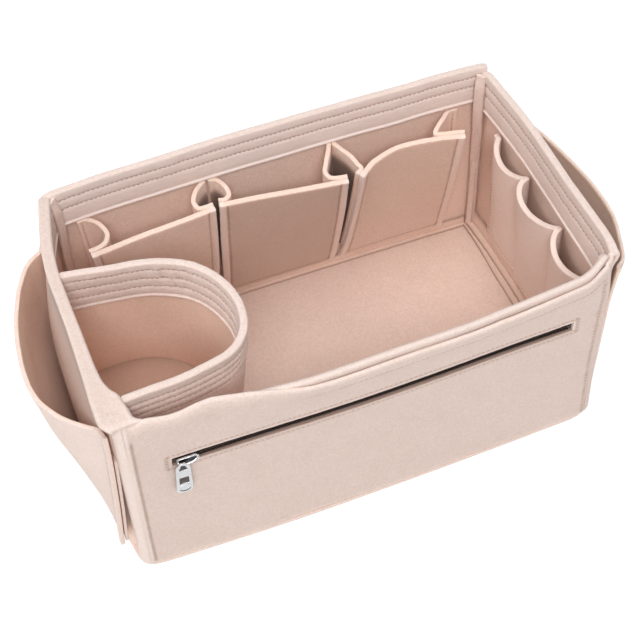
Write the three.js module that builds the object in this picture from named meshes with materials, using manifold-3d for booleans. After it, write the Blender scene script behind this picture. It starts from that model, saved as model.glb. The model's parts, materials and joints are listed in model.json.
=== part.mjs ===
// Felt organizer insert for a handbag: an open box of sewn felt with a front zip
// pocket, bellows pockets, a scalloped pocket strip, a bottle holder and two
// outer slip pockets.
// Millimetres. +X to the right, -Y to the zipped front, +Z up.
// The origin is the middle of the base's underside.
import * as THREE from "three";
import { mergeVertices } from "three/addons/utils/BufferGeometryUtils.js";
import Module from "manifold-3d";

// ---------------------------------------------------------------- dimensions
const FELT = 3; // thickness of the felt
const GAP = 0.3; // air left between two layers that are sewn together
const HALF_LENGTH = 155; // to the outside of a side wall
const HALF_WIDTH = 92; // to the outside of the back wall and of the zip panel
const HEIGHT = 160;
const BASE_CORNER_R = 4;

const RIM_BAND_DEPTH = 31; // folded band along the top of a wall
const FRONT_FOLD_DEPTH = 16; // sewn fold between the two front layers
const ZIP_POCKET_DEPTH = 6; // clear depth between zip panel and inner front wall
const SEAM = 6.4; // width of a seam allowance

const POCKET_WIDTH = 80; // bellows pockets on the back wall
const POCKET_HEIGHT = 111;
const POCKET_FOOT_Z = 16.5;
const POCKET_TILT = 12; // degrees, top forward
const POCKET_CENTRES = [-90.5, 0, 87.5];
const GUSSET = 2.5; // thickness of a gusset
const GUSSET_FOOT = 14; // where a gusset starts, up the panel

const STRIP_BACK_Y = 63; // scalloped strip on the right wall
const STRIP_FRONT_Y = -69;
const STRIP_FOOT_Z = 20;
const STRIP_TOP_Z = 120;
const STRIP_SLOTS = 3;
const STRIP_BOW = 8; // how far each slot stands off the wall
const SCALLOP_DEPTH = 15;

const HOLDER_BACK_Y = 28; // bottle holder on the left wall
const HOLDER_FRONT_Y = -72;
const HOLDER_NOSE_X = -57;
const HOLDER_STRAIGHT_X = -106; // where the legs turn into the round nose
const HOLDER_FLOOR_Z = 47;
const HOLDER_TOP_Z = 158;
const HOLDER_BAND_DEPTH = 33;

const SLIP_FOOT_Z = 16; // outer slip pockets
const SLIP_TOP_Z = 138;
const SLIP_HALF_WIDTH = 79;
const SLIP_CENTRE_Y = -2;
const SLIP_BULGE_LEFT = 32;
const SLIP_BULGE_RIGHT = 22;

const ZIP_Z = 111; // middle of the zip
const SLOT_LEFT_X = -122;
const SLOT_RIGHT_X = 126;
const SLOT_HEIGHT = 8;
const TAPE = 0.8; // thickness of a zip tape
const TAPE_WIDTH = 12.1;
const TAPE_OVERRUN = 9; // tape past each end of the slot
const CHAIN_PARTING = 1.4; // space between the two rows of teeth
const COIL = 2; // section of a row of teeth
const SLIDER_X = -115; // middle of the slider where it is parked
const SLIDER_LENGTH = 13;
const SLIDER_WIDTH = 7.4;
const PULL_X = SLIDER_X - 4; // the pull hangs near the tail of the slider
const PULL_LENGTH = 31; // hinge to tip
const PULL_TOP_WIDTH = 8.4;
const PULL_TIP_WIDTH = 10.4;
const PULL_THICKNESS = 1.3;

// ------------------------------------------------------------------ materials
const felt = new THREE.MeshStandardMaterial({
  color: 0xe2d1c7,
  roughness: 0.95,
  metalness: 0,
});
const feltInside = new THREE.MeshStandardMaterial({
  color: 0xd8bcae,
  roughness: 0.95,
  metalness: 0,
});
const tapeCloth = new THREE.MeshStandardMaterial({
  color: 0x8f7564,
  roughness: 0.9,
  metalness: 0,
});
const coilNylon = new THREE.MeshStandardMaterial({
  color: 0x6f5a4c,
  roughness: 0.6,
  metalness: 0,
});
const chrome = new THREE.MeshStandardMaterial({
  color: 0xd7d8da,
  roughness: 0.18,
  metalness: 1,
});

// -------------------------------------------------------------------- helpers
const wasm = await Module();
wasm.setup();

function toSolid(geometry) {
  const bare = geometry.clone();
  bare.deleteAttribute("normal");
  bare.deleteAttribute("uv");
  const merged = mergeVertices(bare, 1e-4);
  return new wasm.Manifold(
    new wasm.Mesh({
      numProp: 3,
      vertProperties: new Float32Array(merged.attributes.position.array),
      triVerts: new Uint32Array(merged.index.array),
    }),
  );
}

function toGeometry(solid) {
  const mesh = solid.getMesh();
  const positions = new Float32Array(mesh.numVert * 3);
  for (let i = 0; i < mesh.numVert; i++)
    for (let k = 0; k < 3; k++)
      positions[i * 3 + k] = mesh.vertProperties[i * mesh.numProp + k];
  const geometry = new THREE.BufferGeometry();
  geometry.setAttribute("position", new THREE.BufferAttribute(positions, 3));
  geometry.setIndex(new THREE.BufferAttribute(new Uint32Array(mesh.triVerts), 1));
  geometry.computeVertexNormals();
  return geometry;
}

const organizer = new THREE.Group();

function piece(name, geometry, material, parent = organizer) {
  const mesh = new THREE.Mesh(geometry, material);
  mesh.name = name;
  parent.add(mesh);
  return mesh;
}

function boxGeometry([x0, x1], [y0, y1], [z0, z1]) {
  return new THREE.BoxGeometry(x1 - x0, y1 - y0, z1 - z0).translate(
    (x0 + x1) / 2,
    (y0 + y1) / 2,
    (z0 + z1) / 2,
  );
}

function slab(name, xs, ys, zs, material) {
  return piece(name, boxGeometry(xs, ys, zs), material);
}

function upright(shape, z0, z1, curveSegments = 8) {
  return new THREE.ExtrudeGeometry(shape, {
    depth: z1 - z0,
    bevelEnabled: false,
    curveSegments,
  }).translate(0, 0, z0);
}

// A profile drawn in (Y, Z), carried along X.
function alongX(shape, x0, x1) {
  const geometry = new THREE.ExtrudeGeometry(shape, {
    depth: x1 - x0,
    bevelEnabled: false,
  });
  geometry.applyMatrix4(
    new THREE.Matrix4().makeBasis(
      new THREE.Vector3(0, 1, 0),
      new THREE.Vector3(0, 0, 1),
      new THREE.Vector3(1, 0, 0),
    ),
  );
  return geometry.translate(x0, 0, 0);
}

// A profile drawn in (X, Z), carried along Y.
function alongY(shape, y0, y1) {
  const geometry = new THREE.ExtrudeGeometry(shape, {
    depth: y1 - y0,
    bevelEnabled: false,
    curveSegments: 10,
  });
  geometry.applyMatrix4(
    new THREE.Matrix4().makeBasis(
      new THREE.Vector3(1, 0, 0),
      new THREE.Vector3(0, 0, 1),
      new THREE.Vector3(0, -1, 0),
    ),
  );
  return geometry.translate(0, y1, 0);
}

function outline(points) {
  return new THREE.Shape(points.map(([a, b]) => new THREE.Vector2(a, b)));
}

// ---------------------------------------------------------------------- shell
const wallFoot = FELT + GAP;
const sideIn = HALF_LENGTH - FELT; // inner face of a side wall
const backIn = HALF_WIDTH - FELT; // inner face of the back wall
const zipPanelBack = -(HALF_WIDTH - FELT); // back face of the zip panel
const frontOut = zipPanelBack + ZIP_POCKET_DEPTH; // outer face of the inner front wall
const frontIn = frontOut + FELT; // its inner face

const baseOutline = new THREE.Shape();
{
  const a = HALF_LENGTH;
  const b = HALF_WIDTH;
  const r = BASE_CORNER_R;
  baseOutline.moveTo(-a + r, -b);
  baseOutline.lineTo(a - r, -b);
  baseOutline.absarc(a - r, -b + r, r, -Math.PI / 2, 0, false);
  baseOutline.lineTo(a, b - r);
  baseOutline.absarc(a - r, b - r, r, 0, Math.PI / 2, false);
  baseOutline.lineTo(-a + r, b);
  baseOutline.absarc(-a + r, b - r, r, Math.PI / 2, Math.PI, false);
  baseOutline.lineTo(-a, -b + r);
  baseOutline.absarc(-a + r, -b + r, r, Math.PI, Math.PI * 1.5, false);
}
piece("base_panel", upright(baseOutline, 0, FELT, 5), feltInside);

slab(
  "back_wall",
  [-HALF_LENGTH, HALF_LENGTH],
  [backIn, HALF_WIDTH],
  [wallFoot, HEIGHT],
  felt,
);
slab(
  "left_wall",
  [-HALF_LENGTH, -sideIn],
  [zipPanelBack + GAP, backIn - GAP],
  [wallFoot, HEIGHT],
  felt,
);
slab(
  "right_wall",
  [sideIn, HALF_LENGTH],
  [zipPanelBack + GAP, backIn - GAP],
  [wallFoot, HEIGHT],
  felt,
);
slab(
  "front_wall",
  [-sideIn + GAP, sideIn - GAP],
  [frontOut, frontIn],
  [wallFoot, HEIGHT],
  felt,
);

// The outer front panel, with the slot that the zip closes.
{
  const panel = toSolid(
    boxGeometry(
      [-HALF_LENGTH, HALF_LENGTH],
      [-HALF_WIDTH, zipPanelBack],
      [wallFoot, HEIGHT],
    ),
  );
  const slot = toSolid(
    boxGeometry(
      [SLOT_LEFT_X, SLOT_RIGHT_X],
      [-HALF_WIDTH - 1, zipPanelBack + 1],
      [ZIP_Z - SLOT_HEIGHT / 2, ZIP_Z + SLOT_HEIGHT / 2],
    ),
  );
  piece("front_zip_panel", toGeometry(panel.subtract(slot)), felt);
}

// Upright seam allowances in the inside corners, and those on the floor.
const seamX = sideIn - GAP - SEAM; // how far in a side seam reaches
const seamBackY = backIn - GAP - SEAM;
const seamFrontY = frontIn + GAP + SEAM;
function cornerSeam(name, sx, y, sy) {
  const at = (u, v) => [sx * (sideIn - GAP - u), y - sy * v];
  const points = [at(0, 0), at(SEAM, 0), at(SEAM, 2.4), at(2.4, SEAM), at(0, SEAM)];
  if (sx * sy > 0) points.reverse();
  piece(name, upright(outline(points), FELT * 2 + GAP * 2, HEIGHT - 1), felt);
}
cornerSeam("corner_seam_back_left", -1, backIn - GAP, 1);
cornerSeam("corner_seam_back_right", 1, backIn - GAP, 1);
cornerSeam("corner_seam_front_left", -1, frontIn + GAP, -1);
cornerSeam("corner_seam_front_right", 1, frontIn + GAP, -1);

const floorSeamZ = [wallFoot, wallFoot + FELT];
slab(
  "floor_seam_back",
  [-sideIn + GAP, sideIn - GAP],
  [seamBackY, backIn - GAP],
  floorSeamZ,
  feltInside,
);
slab(
  "floor_seam_front",
  [-sideIn + GAP, sideIn - GAP],
  [frontIn + GAP, seamFrontY],
  floorSeamZ,
  feltInside,
);
slab(
  "floor_seam_left",
  [-sideIn + GAP, -seamX],
  [seamFrontY + GAP, seamBackY - GAP],
  floorSeamZ,
  feltInside,
);
slab(
  "floor_seam_right",
  [seamX, sideIn - GAP],
  [seamFrontY + GAP, seamBackY - GAP],
  floorSeamZ,
  feltInside,
);

// ------------------------------------------------------------------------ rim
const bandZ = [HEIGHT - RIM_BAND_DEPTH, HEIGHT];
slab(
  "back_rim_band",
  [-seamX + GAP, seamX - GAP],
  [backIn - GAP - FELT, backIn - GAP],
  bandZ,
  felt,
);
slab(
  "left_rim_band",
  [-sideIn + GAP, -sideIn + GAP + FELT],
  [seamFrontY + GAP, seamBackY - GAP],
  bandZ,
  felt,
);
slab(
  "right_rim_band",
  [sideIn - GAP - FELT, sideIn - GAP],
  [seamFrontY + GAP, seamBackY - GAP],
  bandZ,
  felt,
);
slab(
  "front_rim_fold",
  [-sideIn + GAP, sideIn - GAP],
  [zipPanelBack + GAP, frontOut - GAP],
  [HEIGHT - FRONT_FOLD_DEPTH, HEIGHT],
  felt,
);

// ---------------------------------------------- bellows pockets, back wall
const hingeY = backIn - 0.6;
POCKET_CENTRES.forEach((centre, index) => {
  const tilt = THREE.MathUtils.degToRad(POCKET_TILT);
  const hinge = new THREE.Group();
  hinge.position.set(centre, hingeY, POCKET_FOOT_Z);
  hinge.rotation.x = tilt;
  organizer.add(hinge);
  piece(
    `pocket_panel_${index + 1}`,
    boxGeometry([-POCKET_WIDTH / 2, POCKET_WIDTH / 2], [-FELT, 0], [0, POCKET_HEIGHT]),
    feltInside,
    hinge,
  );
  // The gussets fill the wedge between panel and wall, flush with the panel's edges.
  const behind = (s) => [
    hingeY - s * Math.sin(tilt) + 0.5,
    POCKET_FOOT_Z + s * Math.cos(tilt),
  ];
  const foot = behind(GUSSET_FOOT);
  const head = behind(POCKET_HEIGHT - 1);
  const wedge = outline([
    foot,
    [backIn - GAP, foot[1]],
    [backIn - GAP, head[1] + 3],
    head,
  ]);
  const half = POCKET_WIDTH / 2;
  piece(
    `pocket_gusset_${index + 1}_left`,
    alongX(wedge, centre - half, centre - half + GUSSET),
    felt,
  );
  piece(
    `pocket_gusset_${index + 1}_right`,
    alongX(wedge, centre + half - GUSSET, centre + half),
    felt,
  );
});

// --------------------------------------------- scalloped strip, right wall
{
  const steps = 8;
  const span = (STRIP_FRONT_Y - STRIP_BACK_Y) / STRIP_SLOTS;
  const wallSide = [];
  for (let i = 0; i <= STRIP_SLOTS * steps; i++) {
    const t = i / steps;
    wallSide.push([
      sideIn - GAP - STRIP_BOW * Math.abs(Math.sin(Math.PI * t)),
      STRIP_BACK_Y + span * t,
    ]);
  }
  const roomSide = wallSide.map(([x, y]) => [x - FELT, y]).reverse();
  let strip = toSolid(
    upright(outline([...roomSide, ...wallSide]), STRIP_FOOT_Z, STRIP_TOP_Z),
  );
  for (let slot = 0; slot < STRIP_SLOTS; slot++) {
    const y0 = STRIP_BACK_Y + span * slot;
    const dip = [];
    for (let i = 0; i <= 10; i++) {
      const t = 0.06 + (0.88 * i) / 10;
      const k = Math.sin((Math.PI * i) / 10);
      dip.push([y0 + span * t, STRIP_TOP_Z + 0.2 - SCALLOP_DEPTH * Math.pow(k, 0.8)]);
    }
    const first = dip[0];
    const last = dip[dip.length - 1];
    const cut = outline([
      ...dip,
      [last[0], STRIP_TOP_Z + 6],
      [first[0], STRIP_TOP_Z + 6],
    ]);
    strip = strip.subtract(toSolid(alongX(cut, sideIn - 30, sideIn + 5)));
  }
  piece("scalloped_pocket_strip", toGeometry(strip), feltInside);
}

// ------------------------------------------------ bottle holder, left wall
const holderLeftX = -sideIn + GAP + FELT + GAP;
const holderMidY = (HOLDER_BACK_Y + HOLDER_FRONT_Y) / 2;
function holderCurve(inset) {
  const ry = (HOLDER_BACK_Y - HOLDER_FRONT_Y) / 2 - inset;
  const rx = HOLDER_NOSE_X - HOLDER_STRAIGHT_X - inset;
  const points = [[holderLeftX, holderMidY + ry]];
  for (let i = 0; i <= 18; i++) {
    const a = Math.PI / 2 - (Math.PI * i) / 18;
    points.push([HOLDER_STRAIGHT_X + rx * Math.cos(a), holderMidY + ry * Math.sin(a)]);
  }
  points.push([holderLeftX, holderMidY - ry]);
  return points;
}
function holderShell(inset) {
  return outline([
    ...holderCurve(inset + FELT),
    ...holderCurve(inset).reverse(),
  ]);
}
piece(
  "bottle_holder_wall",
  upright(holderShell(0), HOLDER_FLOOR_Z + FELT + GAP, HOLDER_TOP_Z),
  felt,
);
piece(
  "bottle_holder_band",
  upright(holderShell(FELT + GAP), HOLDER_TOP_Z - HOLDER_BAND_DEPTH, HOLDER_TOP_Z),
  felt,
);
piece(
  "bottle_holder_floor",
  upright(outline(holderCurve(0).reverse()), HOLDER_FLOOR_Z, HOLDER_FLOOR_Z + FELT),
  feltInside,
);

// ----------------------------------------------------- outer slip pockets
function slipPocket(name, side, bulge) {
  const height = SLIP_TOP_Z - SLIP_FOOT_Z;
  const geometry = new THREE.BoxGeometry(FELT, SLIP_HALF_WIDTH * 2, height, 1, 14, 5);
  const at = geometry.attributes.position;
  for (let i = 0; i < at.count; i++) {
    const u = at.getY(i) / SLIP_HALF_WIDTH;
    const v = at.getZ(i) / height + 0.5;
    const out = bulge * v * Math.pow(1 - u * u, 0.9);
    at.setX(i, at.getX(i) + side * (HALF_LENGTH + GAP + FELT / 2 + out));
  }
  geometry.translate(0, SLIP_CENTRE_Y, SLIP_FOOT_Z + height / 2);
  geometry.computeVertexNormals();
  piece(name, geometry, felt);
}
slipPocket("left_slip_pocket", -1, SLIP_BULGE_LEFT);
slipPocket("right_slip_pocket", 1, SLIP_BULGE_RIGHT);

// ------------------------------------------------------------------------ zip
const tapeX = [SLOT_LEFT_X - TAPE_OVERRUN, SLOT_RIGHT_X + TAPE_OVERRUN];
const tapeY = [zipPanelBack + GAP, zipPanelBack + GAP + TAPE];
const tapeInner = CHAIN_PARTING / 2 + 0.2;
slab(
  "zip_tape_upper",
  tapeX,
  tapeY,
  [ZIP_Z + tapeInner, ZIP_Z + tapeInner + TAPE_WIDTH],
  tapeCloth,
);
slab(
  "zip_tape_lower",
  tapeX,
  tapeY,
  [ZIP_Z - tapeInner - TAPE_WIDTH, ZIP_Z - tapeInner],
  tapeCloth,
);
const coilX = [SLOT_LEFT_X + 0.5, SLOT_RIGHT_X - 0.5];
const coilY = [zipPanelBack - COIL, zipPanelBack];
slab(
  "zip_coil_upper",
  coilX,
  coilY,
  [ZIP_Z + CHAIN_PARTING / 2, ZIP_Z + CHAIN_PARTING / 2 + COIL],
  coilNylon,
);
slab(
  "zip_coil_lower",
  coilX,
  coilY,
  [ZIP_Z - CHAIN_PARTING / 2 - COIL, ZIP_Z - CHAIN_PARTING / 2],
  coilNylon,
);

// Slider: a plate before and a plate behind the teeth, a post between the rows,
// and a bail that the pull hangs in.
const plateBack = coilY[0] - 0.4;
const plateFront = plateBack - 1.5;
const tunnel = 2.2;
const bailBar = 1.2;
const backPlateFront = tapeY[1] + 0.4;
{
  const plate = new THREE.Shape();
  const a = SLIDER_LENGTH / 2;
  const b = SLIDER_WIDTH / 2;
  plate.moveTo(SLIDER_X - a + 2, ZIP_Z - b);
  plate.lineTo(SLIDER_X + a - 3.2, ZIP_Z - b);
  plate.quadraticCurveTo(SLIDER_X + a, ZIP_Z - b, SLIDER_X + a, ZIP_Z);
  plate.quadraticCurveTo(SLIDER_X + a, ZIP_Z + b, SLIDER_X + a - 3.2, ZIP_Z + b);
  plate.lineTo(SLIDER_X - a + 2, ZIP_Z + b);
  plate.quadraticCurveTo(SLIDER_X - a, ZIP_Z + b, SLIDER_X - a, ZIP_Z + b - 2);
  plate.lineTo(SLIDER_X - a, ZIP_Z - b + 2);
  plate.quadraticCurveTo(SLIDER_X - a, ZIP_Z - b, SLIDER_X - a + 2, ZIP_Z - b);
  const front = toSolid(alongY(plate, plateFront, plateBack));
  const back = toSolid(alongY(plate, backPlateFront, backPlateFront + 1));
  const post = toSolid(
    boxGeometry(
      [SLIDER_X - 2.5, SLIDER_X + 2.5],
      [plateBack - 0.5, backPlateFront + 0.5],
      [ZIP_Z - 0.35, ZIP_Z + 0.35],
    ),
  );
  const barFront = plateFront - tunnel - bailBar;
  const leg = (z) =>
    toSolid(
      boxGeometry(
        [PULL_X - 1.2, PULL_X + 1.2],
        [barFront, plateFront + 0.5],
        [z - 0.6, z + 0.6],
      ),
    );
  const bar = toSolid(
    boxGeometry(
      [PULL_X - 1.2, PULL_X + 1.2],
      [barFront, barFront + bailBar],
      [ZIP_Z - 3.2, ZIP_Z + 3.2],
    ),
  );
  piece(
    "zip_slider",
    toGeometry(
      front.add(back).add(post).add(leg(ZIP_Z - 2.6)).add(leg(ZIP_Z + 2.6)).add(bar),
    ),
    chrome,
  );
}

// Pull tab: a plate with an eye that the bail goes through and a window, hung
// from a round bar in the bail's tunnel.
{
  const hingeLineY = plateFront - tunnel / 2;
  const tab = new THREE.Shape();
  const tip = ZIP_Z - PULL_LENGTH;
  const wide = PULL_TIP_WIDTH / 2;
  tab.moveTo(PULL_X - PULL_TOP_WIDTH / 2 + 0.6, ZIP_Z + 0.65);
  tab.lineTo(PULL_X - PULL_TOP_WIDTH / 2, ZIP_Z - 1);
  tab.lineTo(PULL_X - wide, tip + wide);
  tab.absarc(PULL_X, tip + wide, wide, Math.PI, Math.PI * 2, false);
  tab.lineTo(PULL_X + PULL_TOP_WIDTH / 2, ZIP_Z - 1);
  tab.lineTo(PULL_X + PULL_TOP_WIDTH / 2 - 0.6, ZIP_Z + 0.65);
  const hole = (x, z0, z1) => {
    const path = new THREE.Path();
    path.moveTo(PULL_X - x, z0);
    path.lineTo(PULL_X + x, z0);
    path.lineTo(PULL_X + x, z1);
    path.lineTo(PULL_X - x, z1);
    path.closePath();
    return path;
  };
  tab.holes.push(hole(1.8, ZIP_Z - 6.2, ZIP_Z - 0.5));
  tab.holes.push(hole(2.7, ZIP_Z - 20.5, ZIP_Z - 13.5));
  const plate = toSolid(
    alongY(tab, hingeLineY - PULL_THICKNESS / 2, hingeLineY + PULL_THICKNESS / 2),
  );
  const bar = toSolid(
    new THREE.CylinderGeometry(0.75, 0.75, PULL_TOP_WIDTH - 1.4, 16)
      .rotateZ(Math.PI / 2)
      .translate(PULL_X, hingeLineY, ZIP_Z),
  );
  piece("zip_pull", toGeometry(plate.add(bar)), chrome);
}

export default organizer;
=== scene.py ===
"""Looks of a felt purse organizer insert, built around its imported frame.

Lengths in the geometry below are in millimetres and become metres in make().
+X runs along the length, -Y is the zipped front, +Z is up, and z = 0 is the base's underside.
"""

import json
import math

import bpy
import numpy as np
from mathutils import Matrix, Vector

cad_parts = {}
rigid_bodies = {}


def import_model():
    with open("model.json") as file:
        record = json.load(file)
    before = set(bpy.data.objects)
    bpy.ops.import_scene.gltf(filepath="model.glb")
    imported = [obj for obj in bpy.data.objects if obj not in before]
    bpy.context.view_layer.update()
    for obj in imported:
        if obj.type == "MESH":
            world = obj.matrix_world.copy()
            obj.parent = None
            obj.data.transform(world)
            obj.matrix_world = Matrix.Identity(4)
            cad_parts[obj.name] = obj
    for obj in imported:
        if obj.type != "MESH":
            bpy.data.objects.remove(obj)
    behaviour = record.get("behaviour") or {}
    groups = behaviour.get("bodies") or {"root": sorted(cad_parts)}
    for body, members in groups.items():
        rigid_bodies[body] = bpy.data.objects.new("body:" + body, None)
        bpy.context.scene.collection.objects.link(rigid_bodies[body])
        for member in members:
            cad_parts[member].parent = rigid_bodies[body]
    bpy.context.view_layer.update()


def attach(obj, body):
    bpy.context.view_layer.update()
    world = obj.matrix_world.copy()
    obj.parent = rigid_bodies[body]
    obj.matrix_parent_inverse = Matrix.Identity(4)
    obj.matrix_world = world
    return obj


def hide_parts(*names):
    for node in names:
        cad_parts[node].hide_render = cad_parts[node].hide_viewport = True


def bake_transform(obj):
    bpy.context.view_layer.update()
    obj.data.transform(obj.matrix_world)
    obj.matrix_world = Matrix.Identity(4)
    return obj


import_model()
scene = bpy.context.scene

MM = 0.001
FELT = 3.0  # thickness of the felt
RIM_Z = 160.0
BASE_TOP = 3.0

# --------------------------------------------------------------------------
# Small maths
# --------------------------------------------------------------------------


def lerp(a, b, t):
    return a + (b - a) * t


def step01(x):
    x = np.clip(x, 0.0, 1.0)
    return x * x * (3 - 2 * x)


def cubic(x, xs, ys):
    """A smooth curve through the points (xs, ys) that doesn't overshoot them."""
    xs, ys = np.asarray(xs, float), np.asarray(ys, float)
    x = np.clip(np.asarray(x, float), xs[0], xs[-1])
    d = np.diff(ys) / np.diff(xs)
    m = np.zeros(len(xs))
    both = d[:-1] * d[1:]
    m[1:-1] = np.where(both > 0, 2 * both / (d[:-1] + d[1:] + (both <= 0)), 0)
    m[0], m[-1] = d[0], d[-1]
    k = np.clip(np.searchsorted(xs, x) - 1, 0, len(xs) - 2)
    h = xs[k + 1] - xs[k]
    t = (x - xs[k]) / h
    return (
        ys[k] * (1 + 2 * t) * (1 - t) ** 2
        + m[k] * h * t * (1 - t) ** 2
        + ys[k + 1] * t * t * (3 - 2 * t)
        + m[k + 1] * h * t * t * (t - 1)
    )


def noise(p, size, seed):
    """Smooth noise from -1 to 1 at points p, with lumps about as large as size."""
    q = np.asarray(p, float) / size + 311.7
    i = np.floor(q).astype(np.int64)
    f = q - i
    f = f * f * (3 - 2 * f)
    out = np.zeros(q.shape[:-1])
    for dx in (0, 1):
        for dy in (0, 1):
            for dz in (0, 1):
                n = (
                    (i[..., 0] + dx) * 374761393
                    + (i[..., 1] + dy) * 668265263
                    + (i[..., 2] + dz) * 1442695041
                    + seed * 974634777
                ) & 0xFFFFFFFF
                n = ((n ^ (n >> 13)) * 1274126177) & 0xFFFFFFFF
                value = ((n ^ (n >> 16)) & 0xFFFF) / 32767.5 - 1
                w = (
                    (f[..., 0] if dx else 1 - f[..., 0])
                    * (f[..., 1] if dy else 1 - f[..., 1])
                    * (f[..., 2] if dz else 1 - f[..., 2])
                )
                out += value * w
    return out


def unit(v):
    return v / np.maximum(np.linalg.norm(v, axis=-1, keepdims=True), 1e-9)


EDGE_ROWS = (0.0, 0.14, 0.42, 0.85, 1.4)
SEAM_ROWS = (-2.4, -1.5, -0.9, -0.4, 0.0, 0.4, 0.9, 1.5, 2.4)


def axis(lo, hi, step, rows=(), edges=()):
    """Places of grid lines from lo to hi, closer together at the ends, along sewn rows and at cut edges."""
    pts = list(np.linspace(lo, hi, max(2, int(round((hi - lo) / step)) + 1)))
    must = [lo, hi, *rows, *edges]
    for e in EDGE_ROWS[1:]:
        pts += [lo + e, hi - e]
        for c in edges:
            pts += [c - e, c + e]
    for r in rows:
        pts += [r + o for o in SEAM_ROWS]
    pts = [p for p in pts if lo < p < hi and min(abs(p - m) for m in must) > 0.09]
    kept = sorted(must)
    for p in sorted(pts):
        if min(abs(p - k) for k in kept) > 0.09:
            kept.append(p)
    return np.array(sorted(set(kept)))


# --------------------------------------------------------------------------
# Meshes
# --------------------------------------------------------------------------


def make(name, verts, quads, pale_and_shade=None, caps=(), painted_bounce=None):
    """A smooth mesh object from vertices in millimetres, quads and larger flat faces (caps)."""
    verts = np.asarray(verts, float)
    quads = np.asarray(quads, np.int32)
    n_quads = len(quads)
    corners = np.concatenate([quads.ravel(), *[np.asarray(c, np.int32) for c in caps]])
    used, corners = np.unique(corners, return_inverse=True)
    corners = corners.ravel().astype(np.int32)
    sizes = np.array([4] * n_quads + [len(c) for c in caps], np.int32)
    starts = np.concatenate([[0], np.cumsum(sizes)[:-1]]).astype(np.int32)
    verts = verts[used] * MM
    me = bpy.data.meshes.new(name)
    me.vertices.add(len(verts))
    me.vertices.foreach_set("co", verts.astype(np.float32).ravel())
    me.loops.add(len(corners))
    me.loops.foreach_set("vertex_index", corners)
    me.polygons.add(len(sizes))
    me.polygons.foreach_set("loop_start", starts)
    me.polygons.foreach_set("use_smooth", np.ones(len(sizes), bool))
    me.update(calc_edges=True)
    me.validate()
    if pale_and_shade is not None:
        at = me.attributes.new("pale_and_shade", "FLOAT", "POINT")
        at.data.foreach_set("value", np.asarray(pale_and_shade, np.float32)[used])
    if painted_bounce is not None:
        at = me.attributes.new("painted_bounce", "FLOAT", "POINT")
        at.data.foreach_set("value", np.broadcast_to(np.asarray(painted_bounce, np.float32), (len(pale_and_shade),))[used].astype(np.float32))
    ob = bpy.data.objects.new(name, me)
    scene.collection.objects.link(ob)
    return ob


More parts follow.
